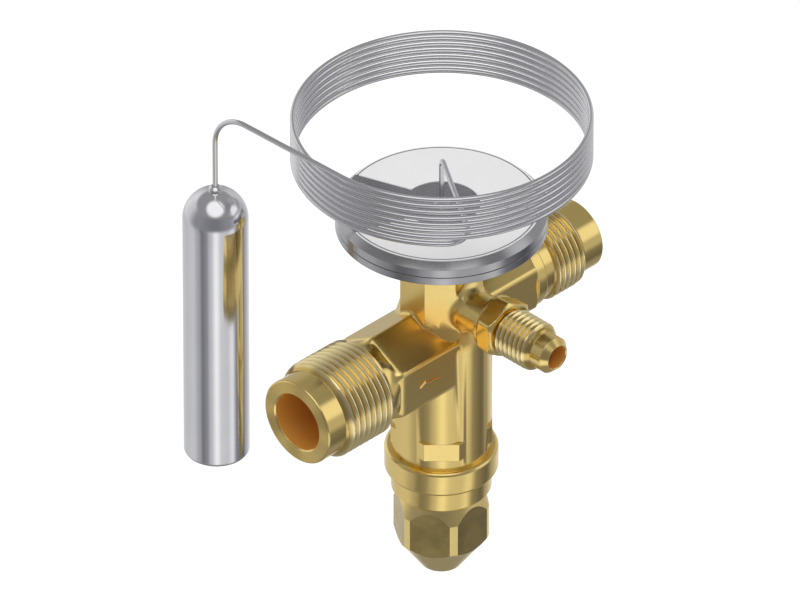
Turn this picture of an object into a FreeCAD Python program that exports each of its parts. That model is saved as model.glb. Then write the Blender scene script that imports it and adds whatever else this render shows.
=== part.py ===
"""A flare-ended expansion valve with its diaphragm head, coiled capillary and sensing bulb.

The frame is the valve's own. +Z runs up the stem axis to the head, the outlet port points
along -X with its axis at z = 0, the inlet points along +X a little higher, and the small
equalizer port points along -Y higher still. All sizes are millimetres.
"""
import FreeCAD, Part

import os
from math import asin, atan2, cos, degrees, pi, radians, sin, sqrt

from FreeCAD import Rotation, Vector

# Where the axes lie
INLET_Z = 7.4
EQUALIZER_Z = 12.5

# Forged brass body
BARREL_R = 10.95
BARREL_BOTTOM_Z = -27.2
SHOULDER_Z = 3.4
NECK_Z = 12.0
POST_FLATS = 17.8
POST_DEPTH = 16.8
POST_TOP_Z = 28.0
OUTLET_HEX_FLATS = 19.0
OUTLET_HEX_END = 22.2
OUTLET_HEX_EDGE = 1.1
OUTLET_FILLET = 1.0
INLET_HEX_FLATS = 17.5
INLET_HEX_END = 20.6
INLET_HEX_EDGE = 1.5
INLET_FILLET = 1.3
HEX_END_EDGE = 1.1
ARM_OVERRUN = 12.0
BOSS_R = 4.7
BOSS_END = 15.4
BOSS_FILLET = 3.0
PAD_FACE = 10.97
PAD_SIDE = 10.45
PAD_LOW_Z = -24.6
PAD_HIGH_Z = -20.3

# Threaded ends: relief, thread, nose and bore, measured outward from the stem axis
OUTLET_RELIEF_R = 9.8
OUTLET_THREAD_R = 11.11
OUTLET_THREAD_START = 25.6
OUTLET_THREAD_END = 37.3
OUTLET_NOSE_R = 9.8
OUTLET_END = 43.9
OUTLET_BORE_R = 6.6
OUTLET_BORE_START = 22.0
INLET_COLLAR_R = 9.3
INLET_COLLAR_END = 22.9
INLET_RELIEF_R = 8.8
INLET_THREAD_R = 9.525
INLET_THREAD_START = 26.0
INLET_THREAD_END = 34.4
INLET_NOSE_R = 8.1
INLET_END = 41.4
INLET_BORE_R = 5.4
INLET_BORE_START = 17.0
EQUALIZER_THREAD_R = 5.556
EQUALIZER_THREAD_START = 21.0
EQUALIZER_THREAD_END = 29.3
EQUALIZER_HEX_FLATS = 10.8
EQUALIZER_HEX_END = 20.2
EQUALIZER_NOSE_R = 4.15
EQUALIZER_END = 35.0
EQUALIZER_BORE_R = 2.6
EQUALIZER_SPIGOT_R = 3.3
EQUALIZER_SPIGOT_END = 11.0
END_EDGE = 0.3
FLARE_LIP = 0.2

# Chambers and passages inside the body
SPRING_CHAMBER_R = 7.0
SPRING_CHAMBER_TOP_Z = 1.0
OUTLET_PASSAGE_R = 4.0
INLET_PASSAGE_R = 3.0
INLET_CHAMBER_R = 4.6
INLET_CHAMBER_TOP_Z = 8.2
SEAT_BORE_R = 6.0
SEAT_SHOULDER_Z = 4.6
PARTITION_TOP_Z = 11.2
UPPER_BORE_R = 4.0
HUB_BORE_R = 6.5
HUB_BORE_FLOOR_Z = 22.0
EQUALIZER_PASSAGE_R = 1.2
HOUSING_BORE_R = 9.0
HOUSING_BORE_TOP_Z = -16.5
SEAL_POCKET_R = 9.8
SEAL_POCKET_HEIGHT = 1.2

# Orifice, pin, cone and spring
FIT = 0.03
SEAL_THICKNESS = 0.4
ORIFICE_R = 2.6
ORIFICE_LEAD = 0.85
ORIFICE_BOTTOM_Z = 1.4
STEM_R = 1.5
GUIDE_R = 3.0
PIN_SEAL_HEIGHT = 0.9
CONE_TOP_Z = 3.2
CONE_SLOPE = 1.3
CONE_GAP = 0.05
CARRIER_TOP_Z = 0.0
CARRIER_R = 5.7
CARRIER_THICKNESS = 1.6
CARRIER_SPIGOT_R = 3.6
CARRIER_SPIGOT_LENGTH = 3.0
SPRING_COIL_R = 4.55
SPRING_WIRE = 1.3
SPRING_TURNS = 4
SPRING_CLOSED_GAP = 0.05
SPRING_GROUND_DEPTH = 0.45
SPRING_SEAT_TOP_Z = -19.0
SPRING_SEAT_THICKNESS = 2.6
SPRING_SEAT_FLATS = 11.0
SPRING_SEAT_GAP = 0.15
SPRING_SEAT_PILOT = 1.2

# Adjusting spindle and the housing that carries it
SPINDLE_SCREW_R = 2.4
SPINDLE_TOP_Z = -15.8
SPINDLE_FLANGE_R = 4.6
SPINDLE_FLANGE_THICKNESS = 1.4
SPINDLE_STEP_Z = -27.0
SPINDLE_JOURNAL_R = 3.0
SPINDLE_SEAL_Z = -33.0
SPINDLE_SEAL_HEIGHT = 1.8
SPINDLE_SEAL_DEPTH = 0.8
SPINDLE_SQUARE_TOP_Z = -47.0
SPINDLE_BOTTOM_Z = -51.5
SPINDLE_SQUARE = 4.0
FLANGE_BORE_GAP = 0.3
RING_GAP = 0.1
RING_SPLIT = 2.0
RING_THICKNESS = 0.8
RING_GROOVE_DEPTH = 0.6
RING_INNER_R = 3.1
HEX_GUIDE_BOTTOM_Z = -24.4
COLLAR_R = 12.35
COLLAR_BOTTOM_Z = -33.3
COLLAR_EDGE = 0.9
HOUSING_R = 10.9
HOUSING_BOTTOM_Z = -38.6
HOUSING_CHAMFER = 0.7
CAP_THREAD_R = 8.0
CAP_THREAD_LENGTH = 7.4
THREAD_LEAD = 0.8

# Seal cap
GASKET_THICKNESS = 0.5
GASKET_OUTER_R = 9.6
CAP_HEX_FLATS = 19.0
CAP_CORNER_R = 10.5
CAP_TOP_R = 9.1
CAP_CROWN_HEIGHT = 3.6
CAP_SKIRT_Z = -50.4
CAP_CONE_TOP_Z = -51.8
CAP_FLATS_R = 9.3
CAP_END_Z = -58.8
CAP_END_R = 4.4
CAP_END_EDGE = 0.8
CAP_WELL_R = 4.6
CAP_WELL_FLOOR_Z = -54.5
CAP_WELL_CONE = 2.3

# Diaphragm head
HEAD_R = 22.9
HEAD_BEVEL = 1.4
RIM_WIDTH = 3.9
SHELL_CLAMP_WIDTH = 4.3
HUB_FLANGE_R = 8.5
HUB_NOSE_R = 5.5
HUB_INNER_R = 4.0
SHELL_FLOOR_Z = 28.6
SHELL_THICKNESS = 0.8
SHELL_FLOOR_R = 12.5
SHELL_RIM_R = HEAD_R - RIM_WIDTH
RIM_BOTTOM_Z = 30.2
DIAPHRAGM_Z = 31.9
DIAPHRAGM_THICKNESS = 0.2
DIAPHRAGM_EDGE_GAP = 0.35
WAVE_COUNT = 2
WAVE_HEIGHT = 0.45
WAVE_INNER_R = 12.5
WAVE_PITCH = 2.6
WAVE_WIDTH = 1.8
RIM_BEVEL_Z = 34.0
HEAD_TOP_Z = 35.4
LABEL_SHELF_R = HEAD_R - HEAD_BEVEL
CHARGE_SPACE_R = HEAD_R - SHELL_CLAMP_WIDTH
TOP_THICKNESS = 1.0
THRUST_PAD_R = 11.5
THRUST_PAD_THICKNESS = 1.2
THRUST_STEM_R = 3.2
THRUST_STEM_BOTTOM_Z = 26.0

# Label on the head
LABEL_THICKNESS = 0.15
LABEL_MARGIN = 0.1
LABEL_R = LABEL_SHELF_R - LABEL_MARGIN
LABEL_HOLE_R = 8.3
NOTCH_INNER = (6.1, 5.0)
NOTCH_OUTER = (18.6, 10.95)
NOTCH_ANGLE = 135.0

# Capillary: a stiff coiled tube from the head to the bulb
TUBE_R = 0.585
TUBE_SIDES = 8
FERRULE_R = 1.7
FERRULE_WAIST_R = 1.1
FERRULE_LIP = 0.2
FERRULE_HEIGHT = 1.6
FERRULE_FOOT_HEIGHT = 0.55
LEG_TOP_Z = 45.4
LEG_BEND_R = 1.9
RUN_ANGLE = -123.0
COIL_R = 31.9
COIL_PITCH = 1.63
COIL_TURNS = 7
COIL_LEAD_ANGLE = -178.0
COIL_ENTRY_BEND_R = 5.0
LEAD_LENGTH = 27.6
LEAD_BEND_R = 8.8

# Sensing bulb
BULB_R = 7.15
BULB_SHOULDER_Z = 30.7
BULB_BOTTOM_Z = -30.4
BULB_BOTTOM_EDGE = 1.0
BULB_NECK_R = 1.4
BULB_NECK_TOP_R = 0.9
BULB_NECK_HEIGHT = 1.2

# Inlet strainer
STRAINER_LENGTH = 14.0
STRAINER_WALL = 0.6
STRAINER_RIM = 1.2
STRAINER_SLOTS = 6
STRAINER_SLOT_WIDTH = 2.0


def turned(profile):
    """Solid of revolution about Z from corners given as (radius, height)."""
    corners = [Vector(radius, 0, height) for radius, height in profile]
    outline = Part.makePolygon(corners + corners[:1])
    return Part.Face(outline).revolve(Vector(0, 0, 0), Vector(0, 0, 1), 360)


def ring(inner, outer, low, high):
    """Flat ring or tube about Z."""
    return turned([(inner, low), (outer, low), (outer, high), (inner, high)])


def rod(radius, low, high):
    """Plain cylinder about Z."""
    return Part.makeCylinder(radius, high - low, Vector(0, 0, low))


def prism(sides, flats, low, high, corner=0.0, turn=0.0):
    """Regular prism about Z, with one corner on the angle turn and its long edges rounded."""
    reach = flats / 2 / cos(pi / sides)
    angles = [radians(turn) + 2 * pi * step / sides for step in range(sides)]
    corners = [Vector(reach * cos(angle), reach * sin(angle), low) for angle in angles]
    outline = Part.makePolygon(corners + corners[:1])
    solid = Part.Face(outline).extrude(Vector(0, 0, high - low))
    if corner:
        upright = [edge for edge in solid.Edges if abs(edge.BoundBox.ZLength - (high - low)) < 1e-6]
        solid = solid.makeFillet(corner, upright)
    return solid


def pointed(shape, direction, height=0.0):
    """The shape with its +Z turned to the direction, and its axis lifted to the height."""
    placed = shape.copy()
    placed.Placement = FreeCAD.Placement(Vector(0, 0, height), Rotation(Vector(0, 0, 1), direction))
    return placed


def edges_near(shape, test):
    """Edges whose midpoint passes the test."""
    chosen = []
    for edge in shape.Edges:
        middle = edge.valueAt((edge.FirstParameter + edge.LastParameter) / 2)
        if test(middle):
            chosen.append(edge)
    return chosen


OUTWARD_OUTLET = Vector(-1, 0, 0)
OUTWARD_INLET = Vector(1, 0, 0)
OUTWARD_EQUALIZER = Vector(0, -1, 0)
FAR = 60.0


def half(shape, direction):
    """The part of a shape that lies on one side of the stem axis."""
    return shape.common(pointed(Part.makeBox(2 * FAR, 2 * FAR, FAR, Vector(-FAR, -FAR, 0)), direction))


def blended(first, second, radius):
    """Two solids joined, with a fillet along every seam where their surfaces cross."""
    joined = first.fuse(second).removeSplitter()

    def on_both(point):
        vertex = Part.Vertex(point)
        return all(solid.Shells[0].distToShape(vertex)[0] < 1e-4 for solid in (first, second))

    return joined.makeFillet(radius, edges_near(joined, on_both))


def octagonal_post():
    """Upright post between the arms and the head, with flats square to the arms."""
    square = Part.makeBox(POST_FLATS, POST_DEPTH, POST_TOP_Z, Vector(-POST_FLATS / 2, -POST_DEPTH / 2, 0))
    corner_cut = prism(4, POST_FLATS, 0, POST_TOP_Z)
    return square.common(corner_cut)


def hex_arm(flats, start, end, long_edge, direction, height):
    """Hexagonal arm with rounded long edges and a rounded outer end."""
    arm = prism(6, flats, start, end, long_edge)
    end_edges = edges_near(arm, lambda point: point.z > end - 1e-6)
    return pointed(arm.makeFillet(HEX_END_EDGE, end_edges), direction, height)


def barrel():
    """Round lower body with the shoulder that narrows into the post."""
    return turned([
        (0, BARREL_BOTTOM_Z),
        (BARREL_R, BARREL_BOTTOM_Z),
        (BARREL_R, SHOULDER_Z),
        (POST_DEPTH / 2, NECK_Z),
        (0, NECK_Z),
    ])


def wrench_band():
    """Band round the foot of the barrel whose four broad flats take a wrench."""
    height = PAD_HIGH_Z - PAD_LOW_Z
    square = Part.makeBox(2 * PAD_SIDE, 2 * PAD_SIDE, height, Vector(-PAD_SIDE, -PAD_SIDE, PAD_LOW_Z))
    return square.common(prism(4, 2 * PAD_FACE, PAD_LOW_Z, PAD_HIGH_Z))


def threaded_end(collar, relief_r, thread_r, thread_start, thread_end, nose_r, end, tip):
    """Outside of a male end about +Z, from its collar to the tip profile at its outer edge."""
    collar_r, collar_end = collar
    return turned([
        (0, 0),
        (collar_r, 0),
        (collar_r, collar_end),
        (relief_r, collar_end),
        (relief_r, thread_start - (thread_r - relief_r) / 2),
        (thread_r, thread_start),
        (thread_r, thread_end),
        (nose_r, thread_end + thread_r - nose_r),
        (nose_r, end - tip),
        (nose_r - tip, end),
        (0, end),
    ])


def passages():
    """Every bore and chamber inside the body, as solids to cut away."""
    lower = turned([
        (0, BARREL_BOTTOM_Z),
        (SEAL_POCKET_R, BARREL_BOTTOM_Z),
        (SEAL_POCKET_R, BARREL_BOTTOM_Z + SEAL_POCKET_HEIGHT),
        (HOUSING_BORE_R, BARREL_BOTTOM_Z + SEAL_POCKET_HEIGHT),
        (HOUSING_BORE_R, HOUSING_BORE_TOP_Z),
        (SPRING_CHAMBER_R, HOUSING_BORE_TOP_Z),
        (SPRING_CHAMBER_R, SPRING_CHAMBER_TOP_Z),
        (SEAT_BORE_R, SPRING_CHAMBER_TOP_Z),
        (SEAT_BORE_R, SEAT_SHOULDER_Z),
        (INLET_CHAMBER_R, SEAT_SHOULDER_Z),
        (INLET_CHAMBER_R, INLET_CHAMBER_TOP_Z),
        (0, INLET_CHAMBER_TOP_Z),
    ])
    guide_bore = rod(GUIDE_R, INLET_CHAMBER_TOP_Z, PARTITION_TOP_Z)
    upper = rod(UPPER_BORE_R, PARTITION_TOP_Z, HUB_BORE_FLOOR_Z)
    hub_bore = rod(HUB_BORE_R, HUB_BORE_FLOOR_Z, POST_TOP_Z)
    outlet_core = pointed(rod(OUTLET_PASSAGE_R, 0, OUTLET_BORE_START), OUTWARD_OUTLET)
    outlet_bore = pointed(rod(OUTLET_BORE_R, OUTLET_BORE_START, OUTLET_END), OUTWARD_OUTLET)
    inlet_core = pointed(rod(INLET_PASSAGE_R, 0, INLET_BORE_START), OUTWARD_INLET, INLET_Z)
    inlet_bore = pointed(rod(INLET_BORE_R, INLET_BORE_START, INLET_END), OUTWARD_INLET, INLET_Z)
    pilot = pointed(rod(EQUALIZER_PASSAGE_R, 0, EQUALIZER_SPIGOT_END), OUTWARD_EQUALIZER, EQUALIZER_Z)
    socket = pointed(rod(EQUALIZER_SPIGOT_R, EQUALIZER_SPIGOT_END, BOSS_END), OUTWARD_EQUALIZER, EQUALIZER_Z)
    stem_line = [lower, guide_bore, upper, hub_bore]
    return stem_line + [outlet_core, outlet_bore, inlet_core, inlet_bore, pilot, socket]


def valve_body():
    """The forged and machined brass body, one piece from the barrel to both flare ends."""
    post = octagonal_post()
    outlet_arm = hex_arm(
        OUTLET_HEX_FLATS, -ARM_OVERRUN, OUTLET_HEX_END, OUTLET_HEX_EDGE, OUTWARD_OUTLET, 0
    )
    inlet_arm = hex_arm(
        INLET_HEX_FLATS, -ARM_OVERRUN, INLET_HEX_END, INLET_HEX_EDGE, OUTWARD_INLET, INLET_Z
    )
    boss = pointed(rod(BOSS_R, 0, BOSS_END), OUTWARD_EQUALIZER, EQUALIZER_Z)
    front = half(blended(post, outlet_arm, OUTLET_FILLET), OUTWARD_OUTLET)
    rear = half(blended(post, inlet_arm, INLET_FILLET), OUTWARD_INLET)
    side = blended(post, boss, BOSS_FILLET)
    outlet_end = threaded_end(
        (OUTLET_RELIEF_R, OUTLET_HEX_END), OUTLET_RELIEF_R, OUTLET_THREAD_R,
        OUTLET_THREAD_START, OUTLET_THREAD_END, OUTLET_NOSE_R, OUTLET_END, END_EDGE,
    )
    inlet_end = threaded_end(
        (INLET_COLLAR_R, INLET_COLLAR_END), INLET_RELIEF_R, INLET_THREAD_R,
        INLET_THREAD_START, INLET_THREAD_END, INLET_NOSE_R, INLET_END, END_EDGE,
    )
    ends = [pointed(outlet_end, OUTWARD_OUTLET), pointed(inlet_end, OUTWARD_INLET, INLET_Z)]
    solid = barrel().multiFuse([front, rear, side, wrench_band()] + ends).removeSplitter()
    return solid.cut(passages())


def orifice_insert():
    """Hard seat ring pressed up against the shoulder above the spring chamber."""
    top = SEAT_SHOULDER_Z - SEAL_THICKNESS
    return turned([
        (ORIFICE_R, ORIFICE_BOTTOM_Z),
        (SEAT_BORE_R, ORIFICE_BOTTOM_Z),
        (SEAT_BORE_R, top),
        (ORIFICE_R + ORIFICE_LEAD, top),
        (ORIFICE_R, top - ORIFICE_LEAD),
    ])


def orifice_seal():
    """Soft ring between the seat ring and its shoulder."""
    return ring(INLET_CHAMBER_R, SEAT_BORE_R, SEAT_SHOULDER_Z - SEAL_THICKNESS, SEAT_SHOULDER_Z)


def pin_guide():
    """Bush that guides the push pin through the wall above the inlet chamber."""
    return ring(STEM_R + FIT, GUIDE_R, INLET_CHAMBER_TOP_Z, PARTITION_TOP_Z)


def pin_seal():
    """Ring that seals the pin on top of its bush."""
    return ring(STEM_R + FIT, UPPER_BORE_R, PARTITION_TOP_Z, PARTITION_TOP_Z + PIN_SEAL_HEIGHT)


def push_pin():
    """Long pin from the thrust pad down to the valve cone."""
    return rod(STEM_R, CONE_TOP_Z, THRUST_STEM_BOTTOM_Z)


def valve_cone():
    """Cone that closes the orifice from below, shown closed."""
    seat_r = ORIFICE_R - CONE_GAP
    base_r = seat_r + (ORIFICE_BOTTOM_Z - CARRIER_TOP_Z) / CONE_SLOPE
    return turned([
        (0, CARRIER_TOP_Z),
        (base_r, CARRIER_TOP_Z),
        (seat_r, ORIFICE_BOTTOM_Z),
        (STEM_R, ORIFICE_BOTTOM_Z + (seat_r - STEM_R) * CONE_SLOPE),
        (STEM_R, CONE_TOP_Z),
        (0, CONE_TOP_Z),
    ])


def spring_carrier():
    """Guided cup between the cone and the spring, with a spigot that centres the coils."""
    bottom = CARRIER_TOP_Z - CARRIER_THICKNESS
    return turned([
        (0, bottom - CARRIER_SPIGOT_LENGTH),
        (CARRIER_SPIGOT_R, bottom - CARRIER_SPIGOT_LENGTH),
        (CARRIER_SPIGOT_R, bottom),
        (CARRIER_R, bottom),
        (CARRIER_R, CARRIER_TOP_Z),
        (0, CARRIER_TOP_Z),
    ])


def tangent_arc(start, heading, end):
    """Arc that leaves the start along the heading and ends at the end."""
    chord = end - start
    inward = chord - heading * chord.dot(heading)
    inward.normalize()
    radius = chord.dot(chord) / (2 * chord.dot(inward))
    half_turn = atan2(chord.dot(inward), chord.dot(heading))
    middle = start + inward * (radius * (1 - cos(half_turn))) + heading * (radius * sin(half_turn))
    return Part.Arc(start, middle, end).toShape()


def end_of(edge):
    """Where an edge ends, and its direction there."""
    return edge.valueAt(edge.LastParameter), edge.tangentAt(edge.LastParameter)


def winding(here, heading, stops):
    """Arcs through the stops, each one leaving along the end direction of the one before."""
    edges = []
    for stop in stops:
        edges.append(tangent_arc(here, heading, stop))
        here, heading = end_of(edges[-1])
    return edges


def superheat_spring():
    """Square-wire spring between the carrier and the spring seat, its end turns closed and ground."""
    bottom = SPRING_SEAT_TOP_Z
    top = CARRIER_TOP_Z - CARRIER_THICKNESS
    half_wire = SPRING_WIRE / 2
    closed = SPRING_WIRE + SPRING_CLOSED_GAP
    ground = half_wire - SPRING_GROUND_DEPTH
    active = top - bottom - 2 * ground - 2 * closed
    steps = [closed / 2] * 2 + [active / (2 * SPRING_TURNS)] * (2 * SPRING_TURNS) + [closed / 2] * 2
    across = SPRING_COIL_R
    height = bottom + ground
    start = Vector(across, 0, height)
    stops = []
    for step in steps:
        across = -across
        height += step
        stops.append(Vector(across, 0, height))
    corners = [
        start + Vector(side * half_wire, 0, rise * half_wire)
        for side, rise in ((-1, -1), (1, -1), (1, 1), (-1, 1), (-1, -1))
    ]
    section = Part.Face(Part.makePolygon(corners))
    spring = Part.Wire(winding(start, Vector(0, 1, 0), stops)).makePipe(section)
    return spring.common(ring(SPRING_COIL_R / 2, SPRING_CHAMBER_R, bottom, top))


def spring_seat():
    """Hexagonal nut that the spindle screws up and down, with a rim that holds the spring."""
    block = prism(6, SPRING_SEAT_FLATS, SPRING_SEAT_TOP_Z - SPRING_SEAT_THICKNESS, SPRING_SEAT_TOP_Z)
    pilot = rod(CARRIER_SPIGOT_R, SPRING_SEAT_TOP_Z, SPRING_SEAT_TOP_Z + SPRING_SEAT_PILOT)
    screw_hole = rod(SPINDLE_SCREW_R + FIT, HOUSING_BOTTOM_Z, CARRIER_TOP_Z)
    return block.fuse(pilot).cut(screw_hole)


def adjusting_spindle():
    """Spindle with a screw end, a thrust flange, a sealed journal and a square for the key."""
    groove_low = SPINDLE_SEAL_Z - SPINDLE_SEAL_HEIGHT / 2
    groove_r = SPINDLE_JOURNAL_R - SPINDLE_SEAL_DEPTH
    body = turned([
        (0, SPINDLE_SQUARE_TOP_Z),
        (SPINDLE_JOURNAL_R, SPINDLE_SQUARE_TOP_Z),
        (SPINDLE_JOURNAL_R, groove_low),
        (groove_r, groove_low),
        (groove_r, groove_low + SPINDLE_SEAL_HEIGHT),
        (SPINDLE_JOURNAL_R, groove_low + SPINDLE_SEAL_HEIGHT),
        (SPINDLE_JOURNAL_R, SPINDLE_STEP_Z),
        (SPINDLE_FLANGE_R, SPINDLE_STEP_Z),
        (SPINDLE_FLANGE_R, SPINDLE_STEP_Z + SPINDLE_FLANGE_THICKNESS),
        (SPINDLE_SCREW_R, SPINDLE_STEP_Z + SPINDLE_FLANGE_THICKNESS),
        (SPINDLE_SCREW_R, SPINDLE_TOP_Z),
        (0, SPINDLE_TOP_Z),
    ])
    return body.fuse(prism(4, SPINDLE_SQUARE, SPINDLE_BOTTOM_Z, SPINDLE_SQUARE_TOP_Z, turn=45))


def spindle_seal():
    """Soft ring in the journal groove."""
    low = SPINDLE_SEAL_Z - SPINDLE_SEAL_HEIGHT / 2 + FIT
    high = low + SPINDLE_SEAL_HEIGHT - 2 * FIT
    return ring(SPINDLE_JOURNAL_R - SPINDLE_SEAL_DEPTH, SPINDLE_JOURNAL_R, low, high)


def retaining_ring():
    """Ring sprung into the housing above the spindle flange."""
    low = SPINDLE_STEP_Z + SPINDLE_FLANGE_THICKNESS + RING_GAP
    outer = SPINDLE_FLANGE_R + FLANGE_BORE_GAP + RING_GROOVE_DEPTH
    closed = ring(RING_INNER_R, outer, low, low + RING_THICKNESS)
    split = Part.makeBox(outer, RING_SPLIT, RING_THICKNESS, Vector(0, -RING_SPLIT / 2, low))
    return closed.cut(split)


def spindle_housing():
    """Turned housing screwed into the barrel: hex guide, collar, body and cap thread."""
    flange_bore = SPINDLE_FLANGE_R + FLANGE_BORE_GAP
    ring_low = SPINDLE_STEP_Z + SPINDLE_FLANGE_THICKNESS + RING_GAP
    groove_r = flange_bore + RING_GROOVE_DEPTH
    outside = turned([
        (0, HOUSING_BOTTOM_Z - CAP_THREAD_LENGTH),
        (CAP_THREAD_R - THREAD_LEAD, HOUSING_BOTTOM_Z - CAP_THREAD_LENGTH),
        (CAP_THREAD_R, HOUSING_BOTTOM_Z - CAP_THREAD_LENGTH + THREAD_LEAD),
        (CAP_THREAD_R, HOUSING_BOTTOM_Z),
        (HOUSING_R - HOUSING_CHAMFER, HOUSING_BOTTOM_Z),
        (HOUSING_R, HOUSING_BOTTOM_Z + HOUSING_CHAMFER),
        (HOUSING_R, COLLAR_BOTTOM_Z),
        (COLLAR_R, COLLAR_BOTTOM_Z),
        (COLLAR_R, BARREL_BOTTOM_Z),
        (HOUSING_BORE_R, BARREL_BOTTOM_Z),
        (HOUSING_BORE_R, HOUSING_BORE_TOP_Z),
        (0, HOUSING_BORE_TOP_Z),
    ])
    outside = outside.makeFillet(COLLAR_EDGE, edges_near(outside, on_collar_edge))
    inside = turned([
        (0, HOUSING_BOTTOM_Z - CAP_THREAD_LENGTH),
        (SPINDLE_JOURNAL_R + FIT, HOUSING_BOTTOM_Z - CAP_THREAD_LENGTH),
        (SPINDLE_JOURNAL_R + FIT, SPINDLE_STEP_Z),
        (flange_bore, SPINDLE_STEP_Z),
        (flange_bore, ring_low),
        (groove_r, ring_low),
        (groove_r, ring_low + RING_THICKNESS),
        (flange_bore, ring_low + RING_THICKNESS),
        (flange_bore, HEX_GUIDE_BOTTOM_Z),
        (0, HEX_GUIDE_BOTTOM_Z),
    ])
    guide = prism(6, SPRING_SEAT_FLATS + 2 * SPRING_SEAT_GAP, HEX_GUIDE_BOTTOM_Z, HOUSING_BORE_TOP_Z)
    return outside.cut([inside, guide])


def on_collar_edge(point):
    """True on the two outer edges of the housing collar."""
    level = min(abs(point.z - BARREL_BOTTOM_Z), abs(point.z - COLLAR_BOTTOM_Z))
    return level < 1e-6 and sqrt(point.x ** 2 + point.y ** 2) > HOUSING_R + COLLAR_EDGE / 2


def housing_seal():
    """Ring in the pocket at the foot of the barrel, on top of the housing collar."""
    return ring(HOUSING_BORE_R, SEAL_POCKET_R, BARREL_BOTTOM_Z, BARREL_BOTTOM_Z + SEAL_POCKET_HEIGHT)


def cap_gasket():
    """Flat gasket that travels with the seal cap."""
    return ring(CAP_THREAD_R + FIT, GASKET_OUTER_R, HOUSING_BOTTOM_Z - GASKET_THICKNESS, HOUSING_BOTTOM_Z)


def seal_cap():
    """Hexagonal cap nut with turned ends and a blind well over the spindle."""
    top = HOUSING_BOTTOM_Z - GASKET_THICKNESS
    hexagon = prism(6, CAP_HEX_FLATS, CAP_END_Z, top)
    envelope = turned([
        (0, CAP_END_Z),
        (CAP_END_R, CAP_END_Z),
        (CAP_FLATS_R, CAP_CONE_TOP_Z),
        (CAP_CORNER_R, CAP_SKIRT_Z),
        (CAP_CORNER_R, top - CAP_CROWN_HEIGHT),
        (CAP_TOP_R, top),
        (0, top),
    ])
    rim = edges_near(envelope, lambda point: abs(point.z - CAP_END_Z) < 1e-6)
    envelope = envelope.makeFillet(CAP_END_EDGE, rim)
    well = turned([
        (0, CAP_WELL_FLOOR_Z),
        (CAP_WELL_R, CAP_WELL_FLOOR_Z + CAP_WELL_CONE),
        (CAP_WELL_R, top - CAP_THREAD_LENGTH),
        (CAP_THREAD_R + FIT, top - CAP_THREAD_LENGTH),
        (CAP_THREAD_R + FIT, top),
        (0, top),
    ])
    return hexagon.common(envelope).cut(well)


def equalizer_fitting():
    """Small hexagonal fitting brazed into the side boss, with its own flare end."""
    cone = EQUALIZER_NOSE_R - EQUALIZER_BORE_R - FLARE_LIP
    spigot = rod(EQUALIZER_SPIGOT_R, EQUALIZER_SPIGOT_END, BOSS_END)
    hexagon = prism(6, EQUALIZER_HEX_FLATS, BOSS_END, EQUALIZER_HEX_END)
    end = threaded_end(
        (EQUALIZER_NOSE_R, EQUALIZER_HEX_END), EQUALIZER_NOSE_R, EQUALIZER_THREAD_R,
        EQUALIZER_THREAD_START, EQUALIZER_THREAD_END, EQUALIZER_NOSE_R, EQUALIZER_END, cone,
    )
    end = end.common(rod(FAR, BOSS_END, FAR))
    bore = rod(EQUALIZER_BORE_R, EQUALIZER_SPIGOT_END, EQUALIZER_END)
    fitting = spigot.multiFuse([hexagon, end]).removeSplitter().cut(bore)
    return pointed(fitting, OUTWARD_EQUALIZER, EQUALIZER_Z)


def inlet_strainer():
    """Slotted cup pushed into the inlet bore."""
    outer = INLET_BORE_R
    inner = outer - STRAINER_RIM
    start = INLET_BORE_START
    cup = turned([
        (0, start),
        (inner, start),
        (inner, start + STRAINER_LENGTH - STRAINER_RIM),
        (outer, start + STRAINER_LENGTH - STRAINER_RIM),
        (outer, start + STRAINER_LENGTH),
        (inner - STRAINER_WALL, start + STRAINER_LENGTH),
        (inner - STRAINER_WALL, start + STRAINER_WALL),
        (0, start + STRAINER_WALL),
    ])
    slots = []
    for step in range(STRAINER_SLOTS):
        slot = Part.makeBox(
            INLET_BORE_R, STRAINER_SLOT_WIDTH, STRAINER_LENGTH - 2 * STRAINER_SLOT_WIDTH - STRAINER_RIM,
            Vector(0, -STRAINER_SLOT_WIDTH / 2, start + STRAINER_SLOT_WIDTH),
        )
        slot.rotate(Vector(0, 0, 0), Vector(0, 0, 1), 360 * step / STRAINER_SLOTS)
        slots.append(slot)
    return pointed(cup.cut(slots), OUTWARD_INLET, INLET_Z)


def element_hub():
    """Steel neck brazed into the post that carries the diaphragm head."""
    return turned([
        (HUB_INNER_R, HUB_BORE_FLOOR_Z),
        (HUB_BORE_R, HUB_BORE_FLOOR_Z),
        (HUB_BORE_R, POST_TOP_Z),
        (HUB_FLANGE_R, POST_TOP_Z),
        (HUB_FLANGE_R, SHELL_FLOOR_Z),
        (HUB_NOSE_R, SHELL_FLOOR_Z),
        (HUB_NOSE_R, SHELL_FLOOR_Z + SHELL_THICKNESS),
        (HUB_INNER_R, SHELL_FLOOR_Z + SHELL_THICKNESS),
    ])


def lower_shell():
    """Pressed dish under the diaphragm, welded to the hub."""
    inside = SHELL_FLOOR_Z + SHELL_THICKNESS
    return turned([
        (HUB_NOSE_R, SHELL_FLOOR_Z),
        (SHELL_FLOOR_R, SHELL_FLOOR_Z),
        (SHELL_RIM_R, RIM_BOTTOM_Z),
        (HEAD_R, RIM_BOTTOM_Z),
        (HEAD_R, DIAPHRAGM_Z),
        (SHELL_RIM_R - SHELL_THICKNESS, DIAPHRAGM_Z),
        (SHELL_FLOOR_R, inside),
        (HUB_NOSE_R, inside),
    ])


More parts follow.
